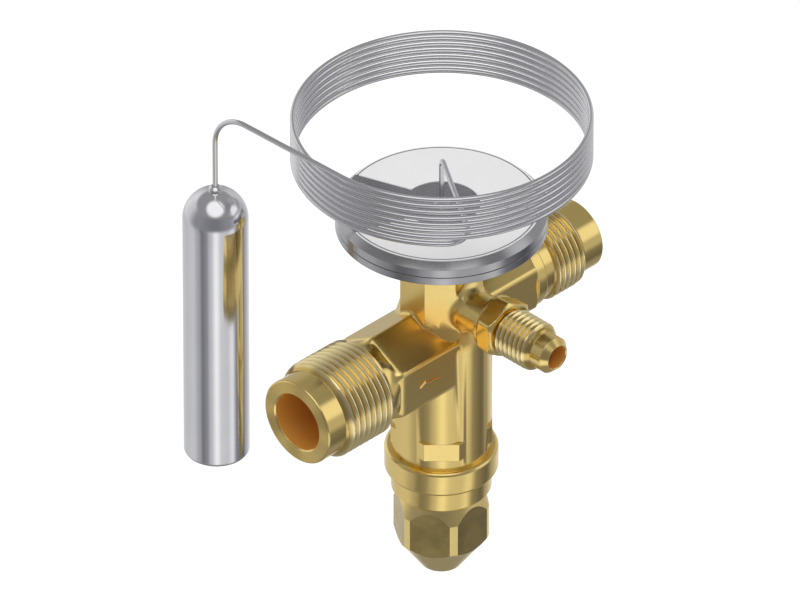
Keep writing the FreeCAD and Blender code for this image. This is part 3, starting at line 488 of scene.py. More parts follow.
def printed_foil():
    """Pale foil label with a fine ring and one rule printed on it."""
    material, tree, surface = blank_material("printed_foil")
    flat = vector_step(tree, "MULTIPLY", object_place(tree), (1, 1, 0)).outputs[0]
    radius = vector_step(tree, "LENGTH", flat).outputs["Value"]
    ring = line_mask(tree, arithmetic(tree, "SUBTRACT", radius, LABEL_RING_RADIUS), LABEL_RING_WIDTH)
    slant = vector_step(tree, "DOT_PRODUCT", flat, (sqrt(0.5), sqrt(0.5), 0)).outputs["Value"]
    rule = line_mask(tree, arithmetic(tree, "SUBTRACT", slant, LABEL_RULE_DROP), LABEL_RULE_WIDTH)
    ink = arithmetic(tree, "MAXIMUM", ring, arithmetic(tree, "MULTIPLY", rule, RULE_INK))
    skin = use_group(tree, forged_skin, {"Pebbles per metre": 3000.0})
    paper = mix_colours(tree, skin["Patches"], FOIL, FOIL_SHADE)
    soft_surface(tree, surface, mix_colours(tree, ink, paper, INK), skin["Height"], 0.4, 2.0e-6, 0.42)
    return material


soft_seal = rubber_material()
label_foil = printed_foil()
print("made", soft_seal.name, "and", label_foil.name)

# %% [markdown]
# ## Finish the pieces that keep their frame shape
# Most pieces are already right: the frame has their true form, so they only need a surface. A
# table of which finish goes on which piece is easier to check than many separate lines.

# %% Dress the frame pieces
FINISHES = {
    barrel_brass: ["spring_carrier", "spring_seat", "adjusting_spindle"],
    cap_brass: ["seal_cap"],
    inlet_brass: ["inlet_strainer"],
    head_steel: ["upper_shell", "lower_shell", "element_hub", "diaphragm", "thrust_pad"],
    bulb_steel: ["sensing_bulb"],
    hard_steel: ["orifice_insert", "push_pin", "valve_cone", "pin_guide"],
    spring_steel: ["superheat_spring", "retaining_ring"],
    soft_seal: ["orifice_seal", "pin_seal", "spindle_seal", "housing_seal"],
    gasket_copper: ["cap_gasket"],
    label_foil: ["label_plate"],
    braze_alloy: ["capillary_ferrule"],
}
for finish, names in FINISHES.items():
    for name in names:
        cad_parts[name].material_slots[0].material = finish
print("dressed", sum(len(names) for names in FINISHES.values()), "frame pieces")

# %% [markdown]
# ## Building round pieces ring by ring
# A round piece with a changing outline is a stack of rings of points, joined by faces. Where the
# outline turns a corner, a few extra rings round it off. This gives full control over every edge,
# which a primitive with modifiers would not.

# %% Ring helpers
COLUMNS = 120
CORNER_STEPS = 4
WELD = 0.5e-6
PLANE_PLAY = 1e-7
WALL_PLAY = 0.02 * MM
CREASE = radians(38)


def axis_frame(direction):
    """Three directions for a ring: two across it and one along its axis."""
    along = Vector(direction)
    across = Vector((0, 0, 1)) if abs(along.z) < 0.5 else Vector((1, 0, 0))
    return across, along.cross(across), along


def ring_point(centre, directions, angle, along, radius):
    """The point at an angle on a ring of the given radius."""
    across, sideways, forward = directions
    return centre + forward * along + across * (radius * cos(angle)) + sideways * (radius * sin(angle))


def round_outline(radius):
    """The outline of a round ring: the same radius at every angle."""
    return lambda angle: radius


def hex_outline(half_flats, edge):
    """The outline of a hexagon with a corner at angle zero and softened corners."""
    corner = (half_flats - edge) / cos(pi / 6) + edge
    return lambda angle: min(half_flats / cos((angle % (pi / 3)) - pi / 6), corner)


def eased_outline(first, second, share):
    """An outline between two others."""
    return lambda angle: first(angle) * (1 - share) + second(angle) * share


def held_within(outline, limit):
    """An outline that goes no further out than a limit."""
    return lambda angle: min(outline(angle), limit)


def ring_of(bm, centre, directions, along, outline, columns=COLUMNS):
    """One closed ring of new vertices. The outline is a radius, or a function of the angle."""
    reach = outline if callable(outline) else round_outline(outline)
    angles = [2 * pi * column / columns for column in range(columns)]
    return [bm.verts.new(ring_point(centre, directions, angle, along, reach(angle))) for angle in angles]


def join_rings(bm, first, second):
    """Faces between two rings of equal count."""
    for column in range(len(first)):
        following = (column + 1) % len(first)
        bm.faces.new((first[column], first[following], second[following], second[column]))


def rounded(along, radius, size):
    """Outline points round an outer corner, from the side to the end face."""
    points = []
    for step in range(CORNER_STEPS + 1):
        angle = pi / 2 * step / CORNER_STEPS
        points.append((along - size * (1 - sin(angle)), radius - size * (1 - cos(angle))))
    return points


BROAD_AREA = 14e-6
SMALL_AREA = 2e-6
STRONG, MEDIUM, WEAK = 16384, 0, -16384


def mark_flats(mesh):
    """Ranks faces by the size of their flat: broad flats are shaded evenly, and fillets bend."""
    sheets = []
    areas = {}
    for face in mesh.polygons:
        offset = round(face.normal.dot(face.center) / MM, 2)
        sheet = (round(face.normal.x, 2), round(face.normal.y, 2), round(face.normal.z, 2), offset)
        sheets.append(sheet)
        areas[sheet] = areas.get(sheet, 0) + face.area
    strength = mesh.attributes.new("__mod_weightednormals_faceweight", "INT", "FACE")
    for place, sheet in enumerate(sheets):
        size = areas[sheet]
        strength.data[place].value = STRONG if size > BROAD_AREA else MEDIUM if size > SMALL_AREA else WEAK


def piece_from(bm, name, material):
    """Turns a finished bmesh into an object with crisp corners and even shading."""
    bmesh.ops.recalc_face_normals(bm, faces=bm.faces)
    mesh = bpy.data.meshes.new(name)
    bm.to_mesh(mesh)
    bm.free()
    mesh.materials.append(material)
    mesh.shade_smooth()
    mesh.set_sharp_from_angle(angle=CREASE)
    mark_flats(mesh)
    piece = bpy.data.objects.new(name, mesh)
    bpy.context.scene.collection.objects.link(piece)
    weighting = piece.modifiers.new("even_shading", "WEIGHTED_NORMAL")
    weighting.keep_sharp = True
    weighting.use_face_influence = True
    return piece


print("rings have", COLUMNS, "points")

# %% [markdown]
# ## Cutting a thread
# A screw thread is a groove that climbs one pitch for each turn. If the rows of the mesh ran
# straight round, they would cut across the groove and leave saw teeth on its crest. Here each row
# climbs with the groove, so the crest, the flanks and the root are each a clean line. At both
# ends the rows are held back to the start and the end, where the thread runs out into the plain
# metal. The section gives the share of the depth at each share of the pitch.

# %% The thread
THREAD_SECTION = (
    (0.0, 0.74), (0.05, 0.90), (0.12, 1.0), (0.24, 1.0), (0.31, 0.90), (0.36, 0.74),
    (0.62, 0.07), (0.66, 0.0), (0.72, 0.0), (0.76, 0.07),
)
RUN_IN_SLOPE = 2.0


def thread_rows(bm, centre, directions, span, pitch, radii):
    """Rows of vertices for a right-hand thread from span[0] to span[1]."""
    start, end = span
    foot, root, crest, nose = radii
    rows = []
    for turn in range(ceil((end - start) / pitch) + 2):
        for phase, share in THREAD_SECTION:
            row = []
            for column in range(COLUMNS):
                sweep = column / COLUMNS
                along = min(max(start + pitch * (turn - 1 + phase + sweep), start), end)
                limit = min(foot + (along - start) * RUN_IN_SLOPE, nose + end - along, crest)
                radius = min(root + share * (crest - root), limit)
                row.append(bm.verts.new(ring_point(centre, directions, 2 * pi * sweep, along, radius)))
            rows.append(row)
    return rows


def join_thread(bm, rows):
    """Faces between the climbing rows. The last column meets the first one turn higher."""
    lift = len(THREAD_SECTION)
    for low, high in zip(rows, rows[1:]):
        for column in range(COLUMNS - 1):
            bm.faces.new((low[column], low[column + 1], high[column + 1], high[column]))
    for place in range(len(rows) - lift - 1):
        low, high = rows[place], rows[place + 1]
        raised_low, raised_high = rows[place + lift], rows[place + lift + 1]
        bm.faces.new((low[-1], raised_low[0], raised_high[0], high[-1]))


def male_end(bm, centre, direction, before, shape, back):
    """A whole threaded end: the outlines before the thread, the thread, the nose and the bore."""
    directions = axis_frame(direction)
    centre = Vector(centre)
    end, bore, lip = shape["end"], shape["bore"], shape["lip"]
    after = shape["tip"] + [(end, bore + lip), (end - lip, bore), (back, bore)]
    radii = (shape["foot"], shape["crest"] - shape["depth"], shape["crest"], shape["nose"])
    lead_in = [ring_of(bm, centre, directions, along, outline) for along, outline in before]
    rows = thread_rows(bm, centre, directions, shape["thread"], shape["pitch"], radii)
    tail = [ring_of(bm, centre, directions, along, radius) for along, radius in after]
    join_thread(bm, rows)
    for chain in (lead_in + [rows[0]], [rows[-1]] + tail):
        for first, second in zip(chain, chain[1:]):
            join_rings(bm, first, second)


print("a thread row for every", 1 / len(THREAD_SECTION), "of the pitch")

# %% [markdown]
# ## Grafting an end onto a frame piece
# The frame's body and housing have their ends as plain cylinders, which is right for measuring and
# too plain to look at. A copy is cut square behind each end, the plain end is thrown away, and the
# new end is joined to the cut with a band of faces. The result is still one closed piece of metal,
# which a thread laid over the plain end would not be.

# %% Cut and graft
GRAFT_BAND = 0.3 * MM


def frame_copy(node):
    """An editable copy of a frame piece with its corners welded together."""
    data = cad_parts[node].data.copy()
    for layer in ("custom_normal", "sharp_edge", "sharp_face"):
        if layer in data.attributes:
            data.attributes.remove(data.attributes[layer])
    bm = bmesh.new()
    bm.from_mesh(data)
    bpy.data.meshes.remove(data)
    bmesh.ops.remove_doubles(bm, verts=bm.verts, dist=WELD)
    return bm


def cut_off(bm, centre, direction, along):
    """Removes everything beyond a plane across the axis."""
    geometry = bm.verts[:] + bm.edges[:] + bm.faces[:]
    plane = Vector(centre) + Vector(direction) * along
    bmesh.ops.bisect_plane(
        bm, geom=geometry, dist=PLANE_PLAY, plane_co=plane, plane_no=Vector(direction), clear_outer=True,
    )


def graft(bm, centre, direction, split_radius):
    """Joins the cut rims to the new end's rims, outside and in the bore."""
    bmesh.ops.remove_doubles(bm, verts=bm.verts, dist=WELD)
    rims = [edge for edge in bm.edges if edge.is_boundary]
    outer, inner = [], []
    for edge in rims:
        arm = (edge.verts[0].co + edge.verts[1].co) / 2 - Vector(centre)
        away = (arm - Vector(direction) * arm.dot(Vector(direction))).length
        (outer if away > split_radius else inner).append(edge)
    for loop in (outer, inner):
        bmesh.ops.bridge_loops(bm, edges=loop)
    return len(rims)


def graft_end(bm, centre, direction, cut, shape):
    """Cuts a plain end off and grafts a threaded one in its place."""
    cut_off(bm, centre, direction, cut)
    start = cut + GRAFT_BAND
    male_end(bm, centre, direction, shape["root"](start), shape, start)
    return graft(bm, centre, direction, (shape["bore"] + shape["foot"]) / 2)


print("grafting band is", GRAFT_BAND / MM, "mm wide")

# %% [markdown]
# ## Where the arms become round
# Both arms of the forging are hexagons, and each turns into a round thread in its own way. The
# outlet arm rolls over a soft end edge and runs down a hollow funnel. The inlet arm has a bevelled
# end, a thin collar and a slow cone. These could be cut with booleans. An outline that changes
# from ring to ring gives the same form, and its edges stay clean.

# %% Ends of the arms
OUTLET_HALF_FLATS, OUTLET_EDGE = 9.5 * MM, 1.1 * MM
OUTLET_HEX_END = 21.6 * MM
OUTLET_END_ROUND = 1.4 * MM
OUTLET_END_TURN = radians(60)
OUTLET_END_DROP = 0.28 * MM
OUTLET_WAIST = 9.7 * MM
OUTLET_WAIST_AT = 24.1 * MM
INLET_HALF_FLATS, INLET_EDGE = 8.75 * MM, 1.2 * MM
INLET_HEX_END = 20.6 * MM
INLET_BEVEL = 1.0 * MM
INLET_SHOULDER = 0.05 * MM
INLET_COLLAR = 9.25 * MM
INLET_COLLAR_END = 23.4 * MM
INLET_COLLAR_ROUND = 0.45 * MM
INLET_STEP = 0.4 * MM
INLET_WAIST = 8.75 * MM
END_STEPS = 6


def outlet_root(start):
    """Outlines from the hexagon, over a soft end edge and down a hollow funnel, to the thread."""
    hexagon = hex_outline(OUTLET_HALF_FLATS, OUTLET_EDGE)
    lowered = hex_outline(OUTLET_HALF_FLATS - OUTLET_END_DROP, OUTLET_EDGE)
    waist = round_outline(OUTLET_WAIST)
    outlines = [(start, hexagon), (OUTLET_HEX_END - OUTLET_END_ROUND, hexagon)]
    for step in range(1, END_STEPS + 1):
        turn = OUTLET_END_TURN * step / END_STEPS
        along = OUTLET_HEX_END - OUTLET_END_ROUND * (1 - sin(turn) / sin(OUTLET_END_TURN))
        outlines.append((along, eased_outline(hexagon, lowered, 2 * (1 - cos(turn)))))
    for step in range(1, END_STEPS + 1):
        share = step / END_STEPS
        along = OUTLET_HEX_END + (OUTLET_WAIST_AT - OUTLET_HEX_END) * share
        outlines.append((along, eased_outline(lowered, waist, 1 - (1 - share) ** 2)))
    return outlines


def inlet_root(start):
    """Outlines from the hexagon, over its bevelled end and a thin collar, to the cone."""
    hexagon = hex_outline(INLET_HALF_FLATS, INLET_EDGE)
    outlines = [(start, hexagon)]
    for step in range(END_STEPS + 1):
        depth = INLET_BEVEL * (END_STEPS - step) / END_STEPS
        outlines.append((INLET_HEX_END - 0.5 * depth, held_within(hexagon, INLET_COLLAR + depth)))
    outlines.append((INLET_HEX_END + INLET_SHOULDER, INLET_COLLAR))
    outlines += rounded(INLET_COLLAR_END, INLET_COLLAR, INLET_COLLAR_ROUND)
    outlines += [(INLET_COLLAR_END + INLET_STEP * count, INLET_WAIST) for count in (1, 2)]
    return outlines


print("outlet funnel", round((OUTLET_WAIST_AT - OUTLET_HEX_END) / MM, 1), "mm long")

# %% [markdown]
# ## The valve body
# One forging carries both flare ends: a coarse thread with a plain nose and a flat end face at the
# outlet, and a size smaller at the inlet. On the frame's arms the round stubs behind the threads
# stand a little proud of the flats, so those strips are pressed back first. Faces are sorted by
# where they lie, so that the turned parts get rings about their own axis and the forged arms keep
# their skin.

# %% Body with real threads
body_low, body_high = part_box("valve_body")
OUTLET_NOSE, INLET_NOSE = 9.8 * MM, 8.1 * MM
OUTLET = {
    "thread": (24.4 * MM, 38.6 * MM), "pitch": 1.62 * MM, "depth": 0.90 * MM, "root": outlet_root,
    "foot": OUTLET_WAIST, "crest": 11.11 * MM, "nose": OUTLET_NOSE, "bore": 6.6 * MM, "lip": 0.3 * MM,
    "end": -body_low.x, "tip": rounded(-body_low.x, OUTLET_NOSE, 0.5 * MM),
}
INLET = {
    "thread": (26.4 * MM, 35.8 * MM), "pitch": 1.50 * MM, "depth": 0.84 * MM, "root": inlet_root,
    "foot": 8.6 * MM, "crest": 9.525 * MM, "nose": INLET_NOSE, "bore": 5.4 * MM, "lip": 0.3 * MM,
    "end": body_high.x, "tip": rounded(body_high.x, INLET_NOSE, 0.4 * MM),
}
OUTLET_CUT, INLET_CUT = 19.6 * MM, 18.9 * MM
OUTLET_STUB, INLET_STUB = 9.8 * MM, 9.3 * MM
BARREL_RADIUS = 10.95 * MM
BARREL_TOP = 2.0 * MM
BORE_START = 3.0 * MM
OUTLET_FACE_FROM = 43.0 * MM
FACE_TURN = 0.95
OUTWARD_OUTLET, OUTWARD_INLET = (-1, 0, 0), (1, 0, 0)
NEAR, BESIDE = 0.03 * MM, 0.1 * MM
BODY_FINISHES = [
    forged_brass, barrel_brass, outlet_brass, inlet_brass, bore_painted_bounce, face_brass,
    outlet_thread, inlet_thread,
]


def flatten_strips(bm, axis, half_flats, strip_radius):
    """Presses the strips that stand proud of an arm's flats back onto them, and counts their points."""
    moved = 0
    for vert in bm.verts:
        arm = vert.co - Vector(axis)
        if abs(sqrt(arm.y ** 2 + arm.z ** 2) - strip_radius) > NEAR:
            continue
        sector = round(atan2(arm.z, arm.y) / (pi / 3))
        outward = Vector((0, cos(sector * pi / 3), sin(sector * pi / 3)))
        proud = arm.dot(outward) - half_flats
        if proud <= 0:
            continue
        on_barrel = abs(sqrt(vert.co.x ** 2 + vert.co.y ** 2) - BARREL_RADIUS) < NEAR
        vert.co -= outward * proud
        if on_barrel and abs(vert.co.y) < BARREL_RADIUS:
            vert.co.x = sqrt(BARREL_RADIUS ** 2 - vert.co.y ** 2) * (1 if vert.co.x > 0 else -1)
        moved += 1
    return moved


def dress_faces(mesh, finishes, choose):
    """Gives each face the finish that a rule chooses from its centre and its normal."""
    for finish in finishes[1:]:
        mesh.materials.append(finish)
    places = {finish: place for place, finish in enumerate(finishes)}
    for face in mesh.polygons:
        face.material_index = places[choose(face.center, face.normal)]


def body_finish(centre, normal):
    """The finish of the operation that made this part of the body."""
    x, y, z = centre
    axis, shape = (INLET_AXIS, INLET) if x > 0 else (STEM_AXIS, OUTLET)
    # Bore faces take the colour painted with bounce light.
    if sqrt(y * y + (z - axis[2]) ** 2) < shape["bore"] + WALL_PLAY and abs(x) > BORE_START:
        return bore_painted_bounce
    if abs(normal.x) > FACE_TURN and -x > OUTLET_FACE_FROM:
        return face_brass
    if shape["thread"][0] < abs(x) < shape["thread"][1]:
        return inlet_thread if x > 0 else outlet_thread
    if -x > OUTLET_HEX_END - 2 * BESIDE:
        return outlet_brass
    if x > INLET_HEX_END + BESIDE:
        return inlet_brass
    if z < BARREL_TOP and abs(sqrt(x * x + y * y) - BARREL_RADIUS) < BESIDE:
        return barrel_brass
    return forged_brass


def build_body():
    """The body with both threaded ends grafted on."""
    bm = frame_copy("valve_body")
    pressed = flatten_strips(bm, STEM_AXIS, OUTLET_HALF_FLATS, OUTLET_STUB)
    pressed += flatten_strips(bm, INLET_AXIS, INLET_HALF_FLATS, INLET_STUB)
    print("pressed", pressed, "points back onto the flats")
    rims = graft_end(bm, STEM_AXIS, OUTWARD_OUTLET, OUTLET_CUT, OUTLET)
    rims += graft_end(bm, INLET_AXIS, OUTWARD_INLET, INLET_CUT, INLET)
    print("grafted", rims, "rim edges;", sum(edge.is_boundary for edge in bm.edges), "are still open")
    piece = piece_from(bm, "brass_body", forged_brass)
    dress_faces(piece.data, BODY_FINISHES, body_finish)
    return piece


brass_body = build_body()
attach(brass_body, "body")
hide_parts("valve_body")
print("body has", len(brass_body.data.polygons), "faces")

# %% [markdown]
# ## The flow arrow
# A forging die leaves a small raised arrow on the arm that shows which way the liquid leaves. It
# is a flat outline pushed out of the face by about a quarter of a millimetre, and its edges are
# softened with a bevel, as the die's engraving is never sharp. The outline is in millimetres.

# %% Raised arrow
ARROW_MIDDLE = Vector((-13.1 * MM, -OUTLET_HALF_FLATS, -0.2 * MM))
ARROW_TIP, ARROW_NECK, ARROW_TAIL = (-3.1, 0.0), -1.2, 3.1
ARROW_BARB, ARROW_SHAFT = 1.05, 0.35
ARROW_RISE = 0.28 * MM
ARROW_ROOT = 0.2 * MM
ARROW_SOFTENING = 0.12 * MM


def raised_arrow():
    """A plain arrow that stands a little proud of the arm's flat."""
    upper = [(ARROW_NECK, ARROW_BARB), (ARROW_NECK, ARROW_SHAFT), (ARROW_TAIL, ARROW_SHAFT)]
    lower = [(x, -z) for x, z in reversed(upper)]
    bm = bmesh.new()
    rows = []
    for depth in (ARROW_ROOT, -ARROW_RISE):
        rows.append([
            bm.verts.new(ARROW_MIDDLE + Vector((x * MM, depth, z * MM)))
            for x, z in [ARROW_TIP] + upper + lower
        ])
    join_rings(bm, rows[0], rows[1])
    bm.faces.new(rows[0])
    bm.faces.new(list(reversed(rows[1])))
    top_edges = [edge for edge in bm.edges if all(vert in rows[1] for vert in edge.verts)]
    bmesh.ops.bevel(bm, geom=top_edges, offset=ARROW_SOFTENING, segments=2, affect="EDGES")
    return piece_from(bm, "flow_arrow", forged_brass)


flow_arrow = raised_arrow()
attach(flow_arrow, "body")
print("arrow has", len(flow_arrow.data.polygons), "faces")

# %% [markdown]
# ## The equalizer fitting
# The small side port is a fitting of its own, brazed into the boss: a spigot, a flared lip, a
# hexagon with bevelled corners, a thread and a cone at the tip. All of it lies on one axis, so it
# is built whole, ring by ring. The frame's own fitting has a smaller hexagon, so a graft onto that
# one would not do. The lip and the rings of the hexagon are given in millimetres: along the axis,
# and for the lip also outward.

# %% Side fitting
fitting_low, fitting_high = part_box("equalizer_fitting")
SPIGOT_BACK = -fitting_high.y
SPIGOT_RADIUS = 3.3 * MM
LIP_OUTLINE = ((15.4, 3.3), (15.4, 5.7), (15.7, 6.2), (16.2, 6.2), (16.4, 5.8))
NUT_HALF_FLATS, NUT_EDGE = 6.05 * MM, 0.5 * MM
NUT_START, NUT_END = 16.4 * MM, 20.7 * MM
NUT_FACE_RADIUS = 5.8 * MM
NUT_BEVEL_SLOPE = 1.7
NUT_BACK_RINGS = (0.0, 0.2, 0.5)
NUT_FRONT_RINGS = (0.85, 0.7, 0.55, 0.4, 0.2, 0.0)
NUT_SHOULDER = 0.02 * MM
RELIEF_RADIUS = 4.5 * MM
SIDE_NOSE = 4.15 * MM
SIDE_CONE, SIDE_TIP = 1.35 * MM, 2.9 * MM
EQUALIZER = {
    "thread": (21.0 * MM, 30.7 * MM), "pitch": 1.31 * MM, "depth": 0.72 * MM, "foot": 4.4 * MM,
    "crest": 5.556 * MM, "nose": SIDE_NOSE, "bore": 2.6 * MM, "lip": 0.2 * MM, "end": -fitting_low.y,
    "tip": [(-fitting_low.y - SIDE_CONE, SIDE_NOSE), (-fitting_low.y, SIDE_TIP)],
}
OUTWARD_EQUALIZER = (0, -1, 0)


def bevelled_hexagon(face, inward, depths):
    """Hexagon outlines at depths below an end face, their corners cut by the bevel's cone."""
    hexagon = hex_outline(NUT_HALF_FLATS, NUT_EDGE)
    outlines = []
    for depth in depths:
        limit = NUT_FACE_RADIUS + depth * MM * NUT_BEVEL_SLOPE
        outlines.append((face + inward * depth * MM, held_within(hexagon, limit)))
    return outlines


def nut_outlines():
    """Outlines of the fitting from its spigot, over the flared lip and the hexagon, to its end face."""
    outlines = [(SPIGOT_BACK, EQUALIZER["bore"]), (SPIGOT_BACK, SPIGOT_RADIUS)]
    outlines += [(along * MM, radius * MM) for along, radius in LIP_OUTLINE]
    outlines += bevelled_hexagon(NUT_START, 1, NUT_BACK_RINGS)
    outlines += bevelled_hexagon(NUT_END, -1, NUT_FRONT_RINGS)
    return outlines + [(NUT_END + NUT_SHOULDER, RELIEF_RADIUS)]


def side_finish(centre, normal):
    """The finish of the operation that made this part of the fitting."""
    x, y, z = centre
    # Bore faces take the colour painted with bounce light.
    if sqrt(x * x + (z - EQUALIZER_AXIS[2]) ** 2) < EQUALIZER["bore"] + WALL_PLAY:
        return bore_painted_bounce
    return side_thread if EQUALIZER["thread"][0] < -y < EQUALIZER["thread"][1] else equalizer_brass


def build_side_fitting():
    """The whole fitting ring by ring: nut, thread, cone and bore."""
    bm = bmesh.new()
    male_end(bm, EQUALIZER_AXIS, OUTWARD_EQUALIZER, nut_outlines(), EQUALIZER, SPIGOT_BACK)
    bmesh.ops.remove_doubles(bm, verts=bm.verts, dist=WELD)
    piece = piece_from(bm, "side_fitting", equalizer_brass)
    dress_faces(piece.data, [equalizer_brass, bore_painted_bounce, side_thread], side_finish)
    return piece


side_fitting = build_side_fitting()
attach(side_fitting, "body")
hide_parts("equalizer_fitting")
print("fitting has", len(side_fitting.data.polygons), "faces")

# %% [markdown]
# ## The spindle housing
# The housing under the barrel carries the thread that the seal cap screws onto, which shows when
# the cap is taken off. Its collar and barrel are right as they are, so only its lower end is
# grafted, as on the body.

# %% Housing with a real thread
housing_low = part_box("spindle_housing")[0]
CAP_THREAD_START, CAP_THREAD_FOOT = 39.2 * MM, 7.2 * MM
CAP_THREAD = {
    "thread": (CAP_THREAD_START, -housing_low.z), "pitch": 1.5 * MM, "depth": 0.8 * MM,
    "root": lambda start: [(start, CAP_THREAD_FOOT)],
    "foot": CAP_THREAD_FOOT, "crest": 8.0 * MM, "nose": CAP_THREAD_FOOT, "bore": 3.03 * MM,
    "lip": 0.2 * MM, "end": -housing_low.z, "tip": [],
}
HOUSING_CUT = 38.65 * MM
DOWNWARD = (0, 0, -1)

bm = frame_copy("spindle_housing")
graft_end(bm, STEM_AXIS, DOWNWARD, HOUSING_CUT, CAP_THREAD)
threaded_housing = piece_from(bm, "threaded_housing", barrel_brass)
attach(threaded_housing, "body")
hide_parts("spindle_housing")
print("housing has", len(threaded_housing.data.polygons), "faces")

# %% [markdown]
# ## The capillary
# A thin steel tube leaves the head, runs outward, winds seven turns on its way up and ends in the
# bulb. It was bent once in a jig and holds its shape, so it is a smooth sweep of a small circle
# along a line made of straight runs, arcs and one helix. The circle is carried along without
# twisting, so no seam shows.

# %% Capillary centre line
TUBE_RADIUS = 0.585 * MM
TUBE_SIDES = 14
LEG_FOOT_Z = 34.4 * MM
LEG_TOP_Z = 45.4 * MM
LEG_BEND = 1.9 * MM
RUN_ANGLE = radians(-123.0)
COIL_RADIUS = 31.9 * MM
COIL_PITCH = 1.63 * MM
COIL_TURNS = 7
COIL_END_ANGLE = radians(-178.0)
ENTRY_BEND = 5.0 * MM
LEAD_BEND = 8.8 * MM
LEG_STEPS, ENTRY_STEPS, LEAD_STEPS = 10, 14, 24
COIL_STEPS = 110


def arc_points(start, heading, end, steps):
    """Points of the arc that leaves the start along the heading and ends at the end."""
    chord = end - start
    inward = (chord - heading * chord.dot(heading)).normalized()
    radius = chord.dot(chord) / (2 * chord.dot(inward))
    turn = 2 * atan2(chord.dot(inward), chord.dot(heading))
    points = []
    for step in range(1, steps + 1):
        angle = turn * step / steps
        points.append(start + inward * (radius * (1 - cos(angle))) + heading * (radius * sin(angle)))
    return points


def capillary_line():
    """Centre line from inside the head to the neck of the bulb."""
    up = Vector((0, 0, 1))
    run = Vector((cos(RUN_ANGLE), sin(RUN_ANGLE), 0))
    run_z = LEG_TOP_Z + LEG_BEND
    entry = COIL_RADIUS - ENTRY_BEND
    swing = asin(ENTRY_BEND / entry)
    first_angle = RUN_ANGLE - swing
    whole_turn = 2 * pi * COIL_TURNS + first_angle - COIL_END_ANGLE

    def on_coil(turn):
        angle = first_angle - turn
        height = run_z + COIL_PITCH * turn / (2 * pi)
        return Vector((COIL_RADIUS * cos(angle), COIL_RADIUS * sin(angle), height))

    run_start = up * run_z + run * LEG_BEND
    run_end = up * run_z + run * (entry * cos(swing))
    points = [up * LEG_FOOT_Z, up * LEG_TOP_Z]
    points += arc_points(points[-1], up, run_start, LEG_STEPS)
    points.append(run_end)
    points += arc_points(run_end, run, on_coil(0), ENTRY_STEPS)
    steps = ceil(whole_turn / (2 * pi) * COIL_STEPS)
    points += [on_coil(whole_turn * step / steps) for step in range(1, steps + 1)]
    drop = Vector(BULB_AXIS)
    drop.z = points[-1].z
    level = (drop - points[-1]).normalized()
    lead_end = drop - level * LEAD_BEND
    points.append(lead_end)
    points += arc_points(lead_end, level, drop - up * LEAD_BEND, LEAD_STEPS)
    points.append(Vector((drop.x, drop.y, bulb_high.z)))
    return points


def swept_tube(points, radius, sides):
    """A tube about a line of points, its section carried along without twisting."""
    bm = bmesh.new()
    side = Vector((1, 0, 0))
    rings = []
    for place, point in enumerate(points):
        ahead = points[min(place + 1, len(points) - 1)]
        behind = points[max(place - 1, 0)]
        heading = (ahead - behind).normalized()
        side = (side - heading * side.dot(heading)).normalized()
        other = heading.cross(side)
        ring = []
        for corner in range(sides):
            angle = 2 * pi * corner / sides
            ring.append(bm.verts.new(point + side * (radius * cos(angle)) + other * (radius * sin(angle))))
        rings.append(ring)
    for first, second in zip(rings, rings[1:]):
        join_rings(bm, first, second)
    bm.faces.new(list(reversed(rings[0])))
    bm.faces.new(rings[-1])
    return bm


line = capillary_line()
capillary = piece_from(swept_tube(line, TUBE_RADIUS, TUBE_SIDES), "capillary", tube_steel)
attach(capillary, "body")
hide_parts("capillary_tube")
tube_length = sum((second - first).length for first, second in zip(line, line[1:]))
print("capillary is", round(tube_length, 3), "m long, in", len(line), "steps")

# %% [markdown]
# ## The studio
# Polished metal shows its surroundings, so the surroundings are designed like a product shot: a
# pale sweep, a broad soft box above the camera, and a few dark flags at the sides that draw the
# grey and olive bands on the cylinders. They are painted into the world by direction, which is
# quicker to tune than panels built round the valve. Reflections see this studio, and its tones
# light the valve. The white backdrop is only for the camera and for glass: metal does not show
# it, because in a plain white room the valve looks flat and pale. The light that has bounced off
# something dull is even.

# %% World
CAMERA_SIDE = (-sqrt(0.5), -sqrt(0.5), 0)
RIGHT_SIDE = (sqrt(0.5), -sqrt(0.5), 0)
SOFTBOX_DIRECTION = (-0.30, -0.30, 0.905)
STRIP_DIRECTION = (0.63, -0.68, 0.38)
FLOOR_TONES = (
    (-180, 0.90), (-143, 0.66), (-125, 0.64), (-85, 0.70), (-62, 0.46), (-47, 0.22), (-33, 0.30),
    (-18, 0.62), (2, 1.12), (20, 0.74), (40, 0.70), (58, 0.95), (76, 0.26), (104, 0.13), (128, 0.50),
    (150, 0.75), (180, 0.90),
)
WALL_TONES = (
    (-180, 0.40), (-140, 0.90), (-110, 0.75), (-70, 0.32), (0, 0.22), (45, 0.30), (80, 0.55),
    (120, 0.50), (150, 0.65), (180, 0.40),
)
COOL_SHADE = 0.03
SKY_TONE = 0.34
BELOW_TONE = 0.30
SOFTBOX_TONE = 1.15
STRIP_TONE = 1.0
EVEN_TONE = 0.85
BELOW_BLEND, WALL_BLEND, SKY_BLEND = (-0.85, -0.65), (-0.45, -0.20), (0.42, 0.60)
SOFTBOX_BLEND, STRIP_BLEND = (0.82, 0.92), (0.93, 0.985)


def tone_band(tree, turn, tones):
    """Grey tones round the horizon, given as (degrees from the camera, brightness)."""
    ramp = add_node(tree, "ValToRGB", {"Fac": turn})
    stops = ramp.color_ramp.elements
    while len(stops) < len(tones):
        stops.new(0.5)
    for stop, (angle, tone) in zip(stops, tones):
        stop.position = angle / 360 + 0.5
        stop.color = (tone, tone, tone + COOL_SHADE * (1 - tone), 1)
    ramp.color_ramp.interpolation = "EASE"
    return ramp.outputs[0]


def grey(tone):
    """A neutral colour of one tone."""
    return (tone, tone, tone, 1)


